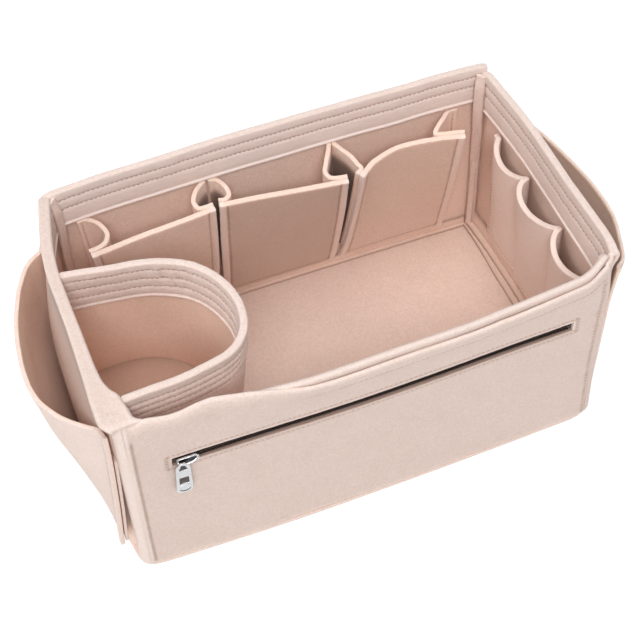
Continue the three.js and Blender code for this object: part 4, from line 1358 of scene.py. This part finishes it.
def smooth_line(points, n=400):
    """Evenly spaced points on a smooth curve through those points."""
    p = np.asarray(points, float)
    d = np.linalg.norm(np.diff(p, axis=0), axis=1) ** 0.5
    t = np.concatenate([[0], np.cumsum(d)])
    m = np.gradient(p, t, axis=0)
    q = np.linspace(0, t[-1], 4000)
    k = np.clip(np.searchsorted(t, q) - 1, 0, len(t) - 2)
    h = (t[k + 1] - t[k])[:, None]
    x = ((q - t[k]) / h[:, 0])[:, None]
    c = (
        p[k] * (1 + 2 * x) * (1 - x) ** 2
        + m[k] * h * x * (1 - x) ** 2
        + p[k + 1] * x * x * (3 - 2 * x)
        + m[k + 1] * h * x * x * (x - 1)
    )
    s = np.concatenate([[0], np.cumsum(np.linalg.norm(np.diff(c, axis=0), axis=1))])
    at = np.linspace(0, s[-1], n)
    return np.stack([np.interp(at, s, c[:, 0]), np.interp(at, s, c[:, 1])], -1), s[-1]


rim_curve, rim_len = smooth_line(rim_line)
foot_curve, foot_len = smooth_line(foot_line)
share = np.linspace(0, 1, 400)


def holder_xy(a, z):
    """The holder's outer face at share a along its wall and height z."""
    f = np.clip((z - HOLDER_FOOT) / (HOLDER_TOP - HOLDER_FOOT), 0, 1)
    x = lerp(np.interp(a, share, foot_curve[:, 0]), np.interp(a, share, rim_curve[:, 0]), f ** 0.8)
    y = lerp(np.interp(a, share, foot_curve[:, 1]), np.interp(a, share, rim_curve[:, 1]), f ** 0.8)
    return x, y


def holder_outer(a, z):
    x, y = holder_xy(a, z)
    return xyz(x, y, z)


def holder_out(a, z):
    x0, y0 = holder_xy(np.clip(a - 0.004, 0, 1), z)
    x1, y1 = holder_xy(np.clip(a + 0.004, 0, 1), z)
    d = unit(np.stack([x1 - x0, y1 - y0], -1))
    return np.stack([-d[..., 1], d[..., 0], 0 * d[..., 0]], -1)


us = axis(0, rim_len, 1.1)
holder = folded_wall(
    "bottle_holder_felt",
    us,
    lambda u: 1 - u / rim_len,
    holder_outer,
    holder_out,
    HOLDER_FOOT + 1.2,
    lambda u: 1.15 + 0 * u,
    band=33.0,
    painted_bounce_in=1.0,
    rows_out=(7.0, 12.6, 18.2, 24.2),
    top=HOLDER_TOP,
    seed=121,
    rows=(6.2, 14.2, 22.2),
    pucker=lambda u: 0.28 + 0.25 * np.exp(-(((u / rim_len - 0.55) / 0.18) ** 2)) + 0.9 * np.exp(-(((u / rim_len - 0.72) / 0.075) ** 2)),
)
if holder.N[len(us) // 2, 5, 0] < 0:
    raise SystemExit("the holder's felt is inside out")
holder_ob = felt_piece(holder, "bottle_holder_wall", "bottle_holder_band")
sewn("bottle_holder_stitches", rim_rows(holder, 4.0))


# The floor is a D-shaped sheet; its straight side meets the left wall.
nfl = 64
fa = (1 - np.cos(np.linspace(0, math.pi / 2, nfl))) ** 0.5 * 0.5
fa[-1] = 0.4985
hx0, hy0 = holder_xy(fa, HOLDER_FOOT + 1.0)
hx1, hy1 = holder_xy(1 - fa, HOLDER_FOOT + 1.0)
o0, o1 = holder_out(fa, HOLDER_FOOT + 1.0), holder_out(1 - fa, HOLDER_FOOT + 1.0)
p0 = np.stack([hx0, hy0], -1) - 0.4 * o0[:, :2]
p1 = np.stack([hx1, hy1], -1) - 0.4 * o1[:, :2]
us = np.concatenate([[0], np.cumsum(np.linalg.norm(np.diff((p0 + p1) / 2, axis=0), axis=1) + 0.05)])
vs = axis(0, 100, 3.0)
mid = lerp(p0[:, None], p1[:, None], (vs / 100)[None, :, None])
mid = np.concatenate([mid, np.full((*mid.shape[:2], 1), HOLDER_FOOT)], -1)
# painted shade: the holder's floor is darker, most near its curved edge; it gets painted bounce light too
rim_shade = -0.45 - 0.6 * np.exp(-np.minimum(vs, 100 - vs) / 5)[None, :] + 0 * us[:, None]
floor_sheet = Sheet("bottle_holder_floor_felt", us, vs, mid, t=2.8, soft=1.3, fuzz=0.05, pale_and_shade=rim_shade, painted_bounce=1.0, seed=131)
holder_floor_ob = felt_piece(floor_sheet, "bottle_holder_floor")

# --------------------------------------------------------------------------
# Outer slip pockets
# --------------------------------------------------------------------------


SLIP_H = 120.0


def slip_pocket(side, y0, y1, foot, top, mouth_x, seed, edge_gap, lift, shade):
    """A sheet sewn to an end wall at its foot and both edges, standing away from it at the mouth.

    mouth_x(y) is how far out the mouth stands, edge_gap(z) the space that its pinched front edge leaves,
    lift how far its front corner stands above its foot, shade how much painted shade darkens it inside.
    """
    sign = -1 if side == "left" else 1
    wall_x = left_x if side == "left" else right_x
    W = y1 - y0
    us = axis(0, W, 1.5, rows=[4.6, W - 4.6])
    vs = axis(0, SLIP_H, 2.2, rows=[5.0])
    U, V = np.meshgrid(us, vs, indexing="ij")
    y = y0 + U if side == "right" else y1 - U
    f = V / SLIP_H
    z = lerp(foot + lift * step01((-68 - y) / 16), top(y), f)
    bulge = np.maximum(mouth_x(y) - sign * wall_x(y, 135.0) - 1.6, 0)
    b = bulge * (0.06 * f + 0.94 * f**1.55)
    gap = 0.25 + edge_gap(z) * step01((-72 - y) / 12)
    mid = xyz(wall_x(y, z) + sign * (b + gap + 1.6), y, z)
    mid[..., 0] += sign * 0.5 * noise(mid, 40, seed) * step01(V / 30) * (1 if side == "left" else step01((y + 86) / 10))
    if side == "right":  # its front edge is sewn down on the rounded corner
        mid[..., 0] -= (0.9 + b) * step01((-78 - y) / 6)
    relief = seam(V, [5.0], 0.5, 0.8) + seam(U, [4.6, W - 4.6], 0.6, 0.8)
    relief += 0.16 * noise(np.stack([U * 0.2, V, U * 0], -1), 3.0, seed + 2) * np.exp(-np.minimum(abs(U - 4.6), abs(W - U - 4.6)) / 2.5)
    # inside, painted bounce light and painted shade; the right pocket is darker along its top edge
    inner = step01(V / 20)
    lip_soft, lip_flat = (4.0, 0.4) if side == "right" else (0.9, 0.66)
    lip = (-0.5 if side == "right" else 0.0) * step01((V - SLIP_H + 4) / 3)
    sh = Sheet(f"{side}_slip_pocket_felt", us, vs, mid, ra=relief, t=2.8, soft=lip_soft, flat=lip_flat, painted_bounce=(0 * inner, 0.9 * inner), pale_and_shade=(lip, lip - shade * inner * step01((SLIP_H - V) / 3)), seed=seed)
    out = "A" if sh.N[len(us) // 2, len(vs) // 2, 0] * sign > 0 else "B"
    if out == "B":
        sh = Sheet(f"{side}_slip_pocket_felt", us, vs, mid, rb=relief, t=2.8, soft=lip_soft, flat=lip_flat, painted_bounce=(0.9 * inner, 0 * inner), pale_and_shade=(lip - shade * inner * step01((SLIP_H - V) / 3), lip), seed=seed)
    felt_piece(sh, f"{side}_slip_pocket")
    sewn(
        f"{side}_slip_pocket_stitches",
        [
            sh.along_v(4.6, out, 5, SLIP_H - 2),
            sh.along_v(W - 4.6, out, 5, SLIP_H - 2),
            sh.along_u(5.0, out, 5, W - 5),
        ],
    )
    sh.edge = mid[-1 if side == "left" else 0]
    return sh


left_slip = slip_pocket(
    "left",
    -86.0,
    84.0,
    17.0,
    lambda y: cubic(y, [-86, -78, -66, -52, 0, 84], [150.5, 146, 139.5, 136, 134.5, 134.5]),
    lambda y: cubic(y, [-86, -80.5, -74, -68, -60, -50, -37.4, -25, -12, 2.6, 18.7, 31.4, 42.6, 52.8, 59.5, 63.6, 67, 72, 84], [150.5, 153.0, 157.5, 163.0, 170.2, 177.6, 184.0, 186.6, 187.2, 186.4, 184.4, 181.4, 178.0, 173.4, 169.2, 164.6, 159.6, 157.0, 152.0]),
    141,
    lambda z: cubic(z, [17, 39, 93, 120, 151], [5.0, 4.0, 0.4, -0.6, -1.2]),
    8.0,
    0.0,
)
# the second layer of the pinched front edge, darkened by painted shade
zs = np.linspace(27, 122, 40)
edge_x = np.interp(zs, left_slip.edge[:, 2], left_slip.edge[:, 0])
flange = ribbon(
    "left_slip_pocket_flange", xyz(edge_x + 2.9, -81.6 + 0 * zs, zs), np.array([0.0, 1.0, 0.0]), 7.4, t=2.2, seed=143, wob=0.05, edge=0.3, pale_and_shade=-0.75
)
felt_piece(flange)

right_slip = slip_pocket(
    "right",
    -85.0,
    84.0,
    17.0,
    lambda y: cubic(y, [-86, -78, -66, -52, 0, 84], [149, 145, 139, 135.5, 134.5, 134.5]),
    lambda y: cubic(y, [-86, -81, -75.8, -64.3, -55, -46.5, -35.8, -24, -11.6, 2.4, 17.3, 45.7, 62, 84], [152.5, 156.5, 161.3, 168.4, 172.6, 175.8, 178.2, 179.0, 178.8, 177.4, 174.9, 168.2, 160.0, 152.5]),
    151,
    lambda z: 0.1 + 0 * z,
    1.5,
    0.72,
)

# --------------------------------------------------------------------------
# Zip
# --------------------------------------------------------------------------

ZIP_Z = 111.0
tape_sheets = {}
for name, z0, z1 in (("upper", 111.9, 124.0), ("lower", 98.0, 110.1)):
    us = axis(-131, 135, 3.0)
    vs = axis(z0, z1, 1.2)
    U, V = np.meshgrid(us, vs, indexing="ij")
    mid = xyz(U, -88.3 - zip_bow(U) + 0.05 * noise(xyz(U, V, 0), 8, 5), V)
    sh = Sheet(f"zip_tape_{name}_cloth", us, vs, mid, t=0.8, soft=0.3, fuzz=0.02, seed=161)
    tape_sheets[name] = sh
    finish_piece(sh.object(), "shell", tape_mats[name], "zip_tape", f"zip_tape_{name}")


def coil_row(name, z_in, z_out):
    """One row of a nylon coil: loops that reach from the tape's edge towards the other row."""
    pitch = 1.5
    n = int((125.5 + 121.5) / pitch)
    t = np.linspace(0, 2 * math.pi, 13)[:-1]
    zc, zr = (z_in + z_out) / 2, abs(z_out - z_in) / 2 - 0.3
    yc, yr = -89.3, 0.55
    turns = np.arange(n)
    tt = (turns[:, None] + (t / (2 * math.pi))[None, :]).ravel()
    ang = tt * 2 * math.pi
    x = -121.3 + tt * pitch
    c = xyz(x, yc - zip_bow(x) + yr * np.cos(ang), zc + zr * np.sin(ang))
    tangent = unit(np.gradient(c, axis=0))
    ref = xyz(0 * x, np.cos(ang), np.sin(ang))
    ref = unit(ref - (ref * tangent).sum(-1, keepdims=True) * tangent)
    other = np.cross(tangent, ref)
    ring = np.arange(6) / 6 * 2 * math.pi
    v = (
        c[:, None]
        + 0.29 * np.cos(ring)[None, :, None] * ref[:, None]
        + 0.29 * np.sin(ring)[None, :, None] * other[:, None]
    )
    m = len(c)
    i = np.arange(m - 1)[:, None] * 6
    s = np.arange(6)[None, :]
    q = np.stack([i + s, i + (s + 1) % 6, i + 6 + (s + 1) % 6, i + 6 + s], -1).reshape(-1, 4)
    e = (m - 1) * 6
    caps = np.array([(3, 2, 1, 0), (5, 4, 3, 0), (e, e + 1, e + 2, e + 3), (e, e + 3, e + 4, e + 5)])
    return make(name, v.reshape(-1, 3), np.concatenate([q, caps]))


finish_piece(coil_row("zip_coil_upper_teeth", 111.7, 113.7), "shell", coil_mat, "zip_coil", "zip_coil_upper")
finish_piece(coil_row("zip_coil_lower_teeth", 110.3, 108.3), "shell", coil_mat, "zip_coil", "zip_coil_lower")


def plate(name, loops, y0, y1, bevel, res=3):
    """A flat metal plate in the XZ plane with rounded edges: the first loop is its outline, the others are holes."""
    cu = bpy.data.curves.new(name, "CURVE")
    cu.dimensions = "2D"
    cu.fill_mode = "BOTH"
    for loop in loops:
        sp = cu.splines.new("POLY")
        sp.points.add(len(loop) - 1)
        for pt, (x, z) in zip(sp.points, loop):
            pt.co = (x * MM, z * MM, 0, 1)
        sp.use_cyclic_u = True
    cu.extrude = (abs(y1 - y0) / 2 - bevel) * MM
    cu.bevel_depth = bevel * MM
    cu.bevel_resolution = res
    cu.offset = -bevel * MM
    tmp = bpy.data.objects.new(name + "_c", cu)
    scene.collection.objects.link(tmp)
    bpy.context.view_layer.update()
    me = bpy.data.meshes.new_from_object(tmp.evaluated_get(bpy.context.evaluated_depsgraph_get()))
    bpy.data.objects.remove(tmp)
    bpy.data.curves.remove(cu)
    # the curve lies in XY: its Y becomes Z and its Z becomes -Y
    rot = Matrix(((1, 0, 0, 0), (0, 0, -1, (y0 + y1) / 2 * MM), (0, 1, 0, 0), (0, 0, 0, 1)))
    me.transform(rot)
    me.name = name
    return me


def merge_meshes(name, meshes):
    import bmesh

    bm = bmesh.new()
    for me in meshes:
        bm.from_mesh(me)
    bmesh.ops.remove_doubles(bm, verts=bm.verts, dist=1e-7)
    bmesh.ops.recalc_face_normals(bm, faces=bm.faces)
    out = bpy.data.meshes.new(name)
    bm.to_mesh(out)
    bm.free()
    out.polygons.foreach_set("use_smooth", np.ones(len(out.polygons), bool))
    out.set_sharp_from_angle(angle=math.radians(38))
    ob = bpy.data.objects.new(name, out)
    scene.collection.objects.link(ob)
    return ob


def rounded(points, radius, n=6):
    """A closed outline with its corners rounded."""
    pts = [np.array(p, float) for p in points]
    rad = radius if isinstance(radius, (list, tuple)) else [radius] * len(pts)
    out = []
    for i, p in enumerate(pts):
        a, b = pts[i - 1], pts[(i + 1) % len(pts)]
        u, w = a - p, b - p
        lu, lw = np.linalg.norm(u), np.linalg.norm(w)
        u, w = u / lu, w / lw
        half = math.acos(np.clip(u @ w, -1, 1)) / 2
        d = min(rad[i] / math.tan(half), lu * 0.49, lw * 0.49)
        s, e = p + u * d, p + w * d
        for k in range(n + 1):
            t = k / n
            out.append((1 - t) ** 2 * s + 2 * t * (1 - t) * p + t * t * e)
    return out


def tube_mesh(name, path, ry, rz, side, up, n=10):
    """A bar with an oval section along a path; side and up are the section's axes at each point."""
    path, side, up = np.asarray(path, float), np.asarray(side, float), np.asarray(up, float)
    ring = np.arange(n) / n * 2 * math.pi
    v = path[:, None] + ry * np.cos(ring)[None, :, None] * side[:, None] + rz * np.sin(ring)[None, :, None] * up[:, None]
    m = len(path)
    faces = []
    for i in range(m - 1):
        for s in range(n):
            t = (s + 1) % n
            faces.append((i * n + s, i * n + t, i * n + n + t, i * n + n + s))
    faces.append(tuple(range(n))[::-1])
    faces.append(tuple((m - 1) * n + s for s in range(n)))
    me = bpy.data.meshes.new(name)
    me.from_pydata([tuple(p * MM) for p in v.reshape(-1, 3)], [], faces)
    me.update()
    return me


SX = -115.0  # middle of the slider
PX = -119.0  # where the pull hangs
a, b = 6.5, 3.5


def slider_outline(grow=0.0):
    a_, b_ = a + grow, b + grow
    return rounded(
        [
            (SX - a_, ZIP_Z - b_ + 0.5),
            (SX - a_ + 1.2, ZIP_Z - b_),
            (SX + a_ - 1.6, ZIP_Z - b_),
            (SX + a_, ZIP_Z - 2.2),
            (SX + a_, ZIP_Z + 2.2),
            (SX + a_ - 1.6, ZIP_Z + b_),
            (SX - a_ + 1.2, ZIP_Z + b_),
            (SX - a_, ZIP_Z + b_ - 0.5),
        ],
        [0.8, 0.8, 2.0, 0.9, 0.9, 2.0, 0.8, 0.8],
    )


def wire(name, path, r, n=10):
    """A round wire along a path."""
    path = np.asarray(path, float)
    tang = unit(np.gradient(path, axis=0))
    ref = np.tile([0.0, 0.0, 1.0], (len(path), 1))
    side = unit(np.cross(tang, ref))
    return tube_mesh(name, path, r, r, side, np.cross(side, tang), n)


front_plate = plate("sf", [slider_outline(), slider_outline(-1.15)], -92.3, -90.9, 0.3)
# painted shade: a dark plate inside the slider's frame stands in for the shadow in its recess
recess_shade_plate = plate("si", [slider_outline(-0.9)], -91.5, -91.0, 0.1)
back_plate = plate("sb", [slider_outline()], -87.5, -86.5, 0.3)
post = plate(
    "sp",
    [rounded([(SX - 2.5, ZIP_Z - 0.35), (SX + 2.5, ZIP_Z - 0.35), (SX + 2.5, ZIP_Z + 0.35), (SX - 2.5, ZIP_Z + 0.35)], 0.2)],
    -91.2,
    -87.3,
    0.05,
    1,
)
# the bridge that carries the pull runs along the slider
t = np.linspace(0, 1, 31)
bridge = wire(
    "sbridge", xyz(lerp(SX - 6.0, SX + 5.6, t), -91.9 - 2.3 * np.sin(math.pi * t) ** 0.4, ZIP_Z + 1.4 * ((t - 0.25) / 0.75) ** 2), 0.75, 12
)
slider = merge_meshes("zip_slider_metal", [front_plate, back_plate, post, bridge])
finish_piece(slider, "slider", metal, "zip_metal", "zip_slider")
slider_recess_shade = merge_meshes("zip_slider_recess_shade", [recess_shade_plate])
finish_piece(slider_recess_shade, "slider", shade_metal, "zip_metal")

PY = -94.0
tip_z = ZIP_Z - 31.0
HANG = math.radians(4.5)  # the pull hangs a little aslant


def hung(points):
    out = []
    for x, z in points:
        dx, dz = x, z
        out.append((PX + dx * math.cos(HANG) + dz * math.sin(HANG), ZIP_Z + dz * math.cos(HANG) - dx * math.sin(HANG)))
    return out


tab = hung(
    rounded(
        [(-1.9, 2.0), (-4.3, -1.8), (-5.2, -31.0), (5.2, -31.0), (4.3, -1.8), (1.9, 2.0)], [0.8, 1.2, 4.4, 4.4, 1.2, 0.8], 9
    )
)
eye = hung(rounded([(-0.75, 0.75), (-2.7, -5.0), (2.7, -5.0), (0.75, 0.75)], [0.35, 0.7, 0.7, 0.35], 5))
window = hung(rounded([(-2.9, -20.2), (2.9, -20.2), (2.7, -13.2), (-2.7, -13.2)], 0.4, 4))
pull_plate = plate("pp", [tab, eye, window], PY - 0.65, PY + 0.65, 0.28)
# a smooth low boss below the window; the dark line round its foot is painted shadow
boss = plate("pd", [hung(rounded([(-3.1, -27.4), (3.1, -27.4), (3.0, -21.6), (-3.0, -21.6)], [2.9, 2.9, 0.7, 0.7], 9))], PY - 0.95, PY - 0.3, 0.3)
pull = merge_meshes("zip_pull_metal", [pull_plate, boss])
finish_piece(pull, "pull", metal, "zip_metal", "zip_pull")
ang = np.linspace(math.radians(205), math.radians(335), 25)
painted_shade = np.array(hung([(3.55 * math.cos(q), -25.0 + 3.6 * math.sin(q)) for q in ang]))
taper = 0.2 + 0.5 * np.sin(np.linspace(0, math.pi, 25)) ** 0.7
line = xyz(painted_shade[:, 0], PY - 0.62, painted_shade[:, 1])
tang = unit(np.gradient(line, axis=0))
side = unit(np.cross(tang, np.tile([0.0, 1.0, 0.0], (25, 1))))
ring_a = np.arange(8) / 8 * 2 * math.pi
v = line[:, None] + (taper[:, None, None] * np.cos(ring_a)[None, :, None]) * side[:, None] + (0.07 * np.sin(ring_a))[None, :, None] * np.array([0.0, 1.0, 0.0])
faces = [(i * 8 + s, i * 8 + (s + 1) % 8, i * 8 + 8 + (s + 1) % 8, i * 8 + 8 + s) for i in range(24) for s in range(8)]
boss_shadow_ob = make("zip_pull_boss_shadow", v.reshape(-1, 3), faces, caps=[list(range(8))[::-1], [24 * 8 + s for s in range(8)]])
finish_piece(boss_shadow_ob, "pull", shade_metal, "zip_metal")
# painted shade: dark plates behind the window and the eye stand in for the shadow seen through them
window_shade_plate = plate("pw", [hung(rounded([(-3.3, -20.6), (3.3, -20.6), (3.1, -12.8), (-3.1, -12.8)], 0.4, 4))], PY + 0.12, PY + 0.5, 0.05, 1)
eye_shade_plate = plate("pe", [hung(rounded([(-1.25, -1.5), (-3.0, -5.4), (3.0, -5.4), (1.25, -1.5)], 0.3, 4))], PY + 0.12, PY + 0.5, 0.05, 1)
window_shade_ob = merge_meshes("zip_pull_window_shade", [window_shade_plate, eye_shade_plate])
finish_piece(window_shade_ob, "pull", window_shade_metal, "zip_metal")

# --------------------------------------------------------------------------
# Pieces listed with the sheets they were cut from; cut() does nothing with them
# --------------------------------------------------------------------------


def cut(ob, sh, held, *rests_on, on=()):
    """Does nothing; none of its arguments is used."""


piece = bpy.data.objects
foot_ring = outline(0.0, 0.0)
cut(left_ob, left_wall, "folded", "base_panel_felt", on=["left_wall_stitches", "floor_seam_left_felt", "corner_seam_front_left_felt"])
cut(right_ob, right_wall, "folded", "base_panel_felt", on=["right_wall_stitches", "floor_seam_right_felt", "corner_seam_front_right_felt"])
cut(
    back_ob,
    back_wall,
    "folded",
    "base_panel_felt",
    on=["back_wall_stitches", "floor_seam_back_felt", "corner_seam_back_left_felt", "corner_seam_back_right_felt"],
)
cut(front_ob, front_panel, "stretched", "base_panel_felt", on=["front_panel_stitches", "front_corner_stitches"])
cut(front_inner_ob, front_inner, "stretched", "base_panel_felt", on=["front_wall_stitches", "floor_seam_front_felt"])
for k, sh in panel_sheets.items():
    cut(piece[f"pocket_panel_{k}_felt"], sh, "hung", "back_wall_felt", on=[f"pocket_panel_{k}_stitches"])
for (k, side), sh in gusset_sheets.items():
    rows = f"pocket_gusset_{k}_{side}_stitches"
    cut(piece[f"pocket_gusset_{k}_{side}_felt"], sh, "folded", "back_wall_felt", f"pocket_panel_{k}_felt", on=[rows] if rows in piece else [])
cut(strip_ob, strip, "gathered", "right_wall_felt", on=["scalloped_strip_stitches"])
cut(holder_ob, holder, "folded", "left_wall_felt", "bottle_holder_floor_felt", on=["bottle_holder_stitches"])
cut(holder_floor_ob, floor_sheet, "stretched", "bottle_holder_felt", "left_wall_felt")
cut(piece["left_slip_pocket_felt"], left_slip, "hung", "left_wall_felt", on=["left_slip_pocket_stitches", "left_slip_pocket_flange"])
cut(piece["right_slip_pocket_felt"], right_slip, "hung", "right_wall_felt", on=["right_slip_pocket_stitches"])
for name, sh in tape_sheets.items():
    cut(piece[f"zip_tape_{name}_cloth"], sh, "stretched", "front_zip_panel_felt", on=[f"zip_coil_{name}_teeth"])

# --------------------------------------------------------------------------
# Stage, light and camera
# --------------------------------------------------------------------------

floor_me = bpy.data.meshes.new("stage_floor")
floor_me.from_pydata([(-6, -6, -0.0003), (6, -6, -0.0003), (6, 6, -0.0003), (-6, 6, -0.0003)], [], [(0, 1, 2, 3)])
floor = bpy.data.objects.new("stage_floor", floor_me)
scene.collection.objects.link(floor)
fm, fnt, fb = new_material("stage_floor")
fb.inputs["Base Color"].default_value = (0.24, 0.24, 0.237, 1)
fb.inputs["Emission Color"].default_value = (1.0, 1.0, 1.0, 1)
fb.inputs["Emission Strength"].default_value = 0.82
fb.inputs["Roughness"].default_value = 0.9
fb.inputs["Specular IOR Level"].default_value = 0.1
floor_me.materials.append(fm)

world = bpy.data.worlds.new("studio")
scene.world = world
world.use_nodes = True
bg = world.node_tree.nodes["Background"]
bg.inputs[0].default_value = (0.955, 1.0, 1.06, 1)
bg.inputs[1].default_value = 0.46


def area(name, loc, target, size, power, colour=(1, 1, 1)):
    li = bpy.data.lights.new(name, "AREA")
    li.shape = "DISK"
    li.size = size
    li.energy = power
    li.color = colour
    ob = bpy.data.objects.new(name, li)
    ob.location = loc
    ob.rotation_mode = "QUATERNION"
    ob.rotation_quaternion = (Vector(target) - Vector(loc)).to_track_quat("-Z", "Y")
    scene.collection.objects.link(ob)
    return ob


area("key", (-0.3, -1.25, 1.75), (0, 0, 0.08), 1.0, 24.5, (0.97, 1.0, 1.04))
area("fill", (-1.4, 0.1, 1.2), (0, 0, 0.08), 0.8, 7, (0.98, 1.0, 1.02))
area("top", (0.0, 0.1, 1.8), (0, 0, 0.05), 1.0, 9.5, (0.98, 1.0, 1.02))

scene.cycles.max_bounces = 16
scene.cycles.diffuse_bounces = 14
scene.view_settings.view_transform = "Standard"
scene.view_settings.look = "None"
scene.view_settings.exposure = 0.0
scene.view_settings.gamma = 1.0

cam_data = bpy.data.cameras.new("camera")
cam = bpy.data.objects.new("camera", cam_data)
scene.collection.objects.link(cam)
scene.camera = cam
cam_data.sensor_width = 36.0
cam_data.lens = 1100.885 / 640 * 36.0
cam_data.clip_start, cam_data.clip_end = 0.01, 30
az, el, dist, roll = math.radians(-18.052), math.radians(54.923), 0.724397, 0.053
target = Vector((-0.003024, 0.0, 0.066724))
back = Vector((math.sin(az) * math.cos(el), -math.cos(az) * math.cos(el), math.sin(el)))
right = Vector((math.cos(az), math.sin(az), 0.0))
up = back.cross(right)
cx_ = right * math.cos(roll) - up * math.sin(roll)
cy_ = right * math.sin(roll) + up * math.cos(roll)
cam.matrix_world = Matrix(
    (
        (cx_.x, cy_.x, back.x, target.x + back.x * dist),
        (cx_.y, cy_.y, back.y, target.y + back.y * dist),
        (cx_.z, cy_.z, back.z, target.z + back.z * dist),
        (0, 0, 0, 1),
    )
)

bpy.context.view_layer.update()
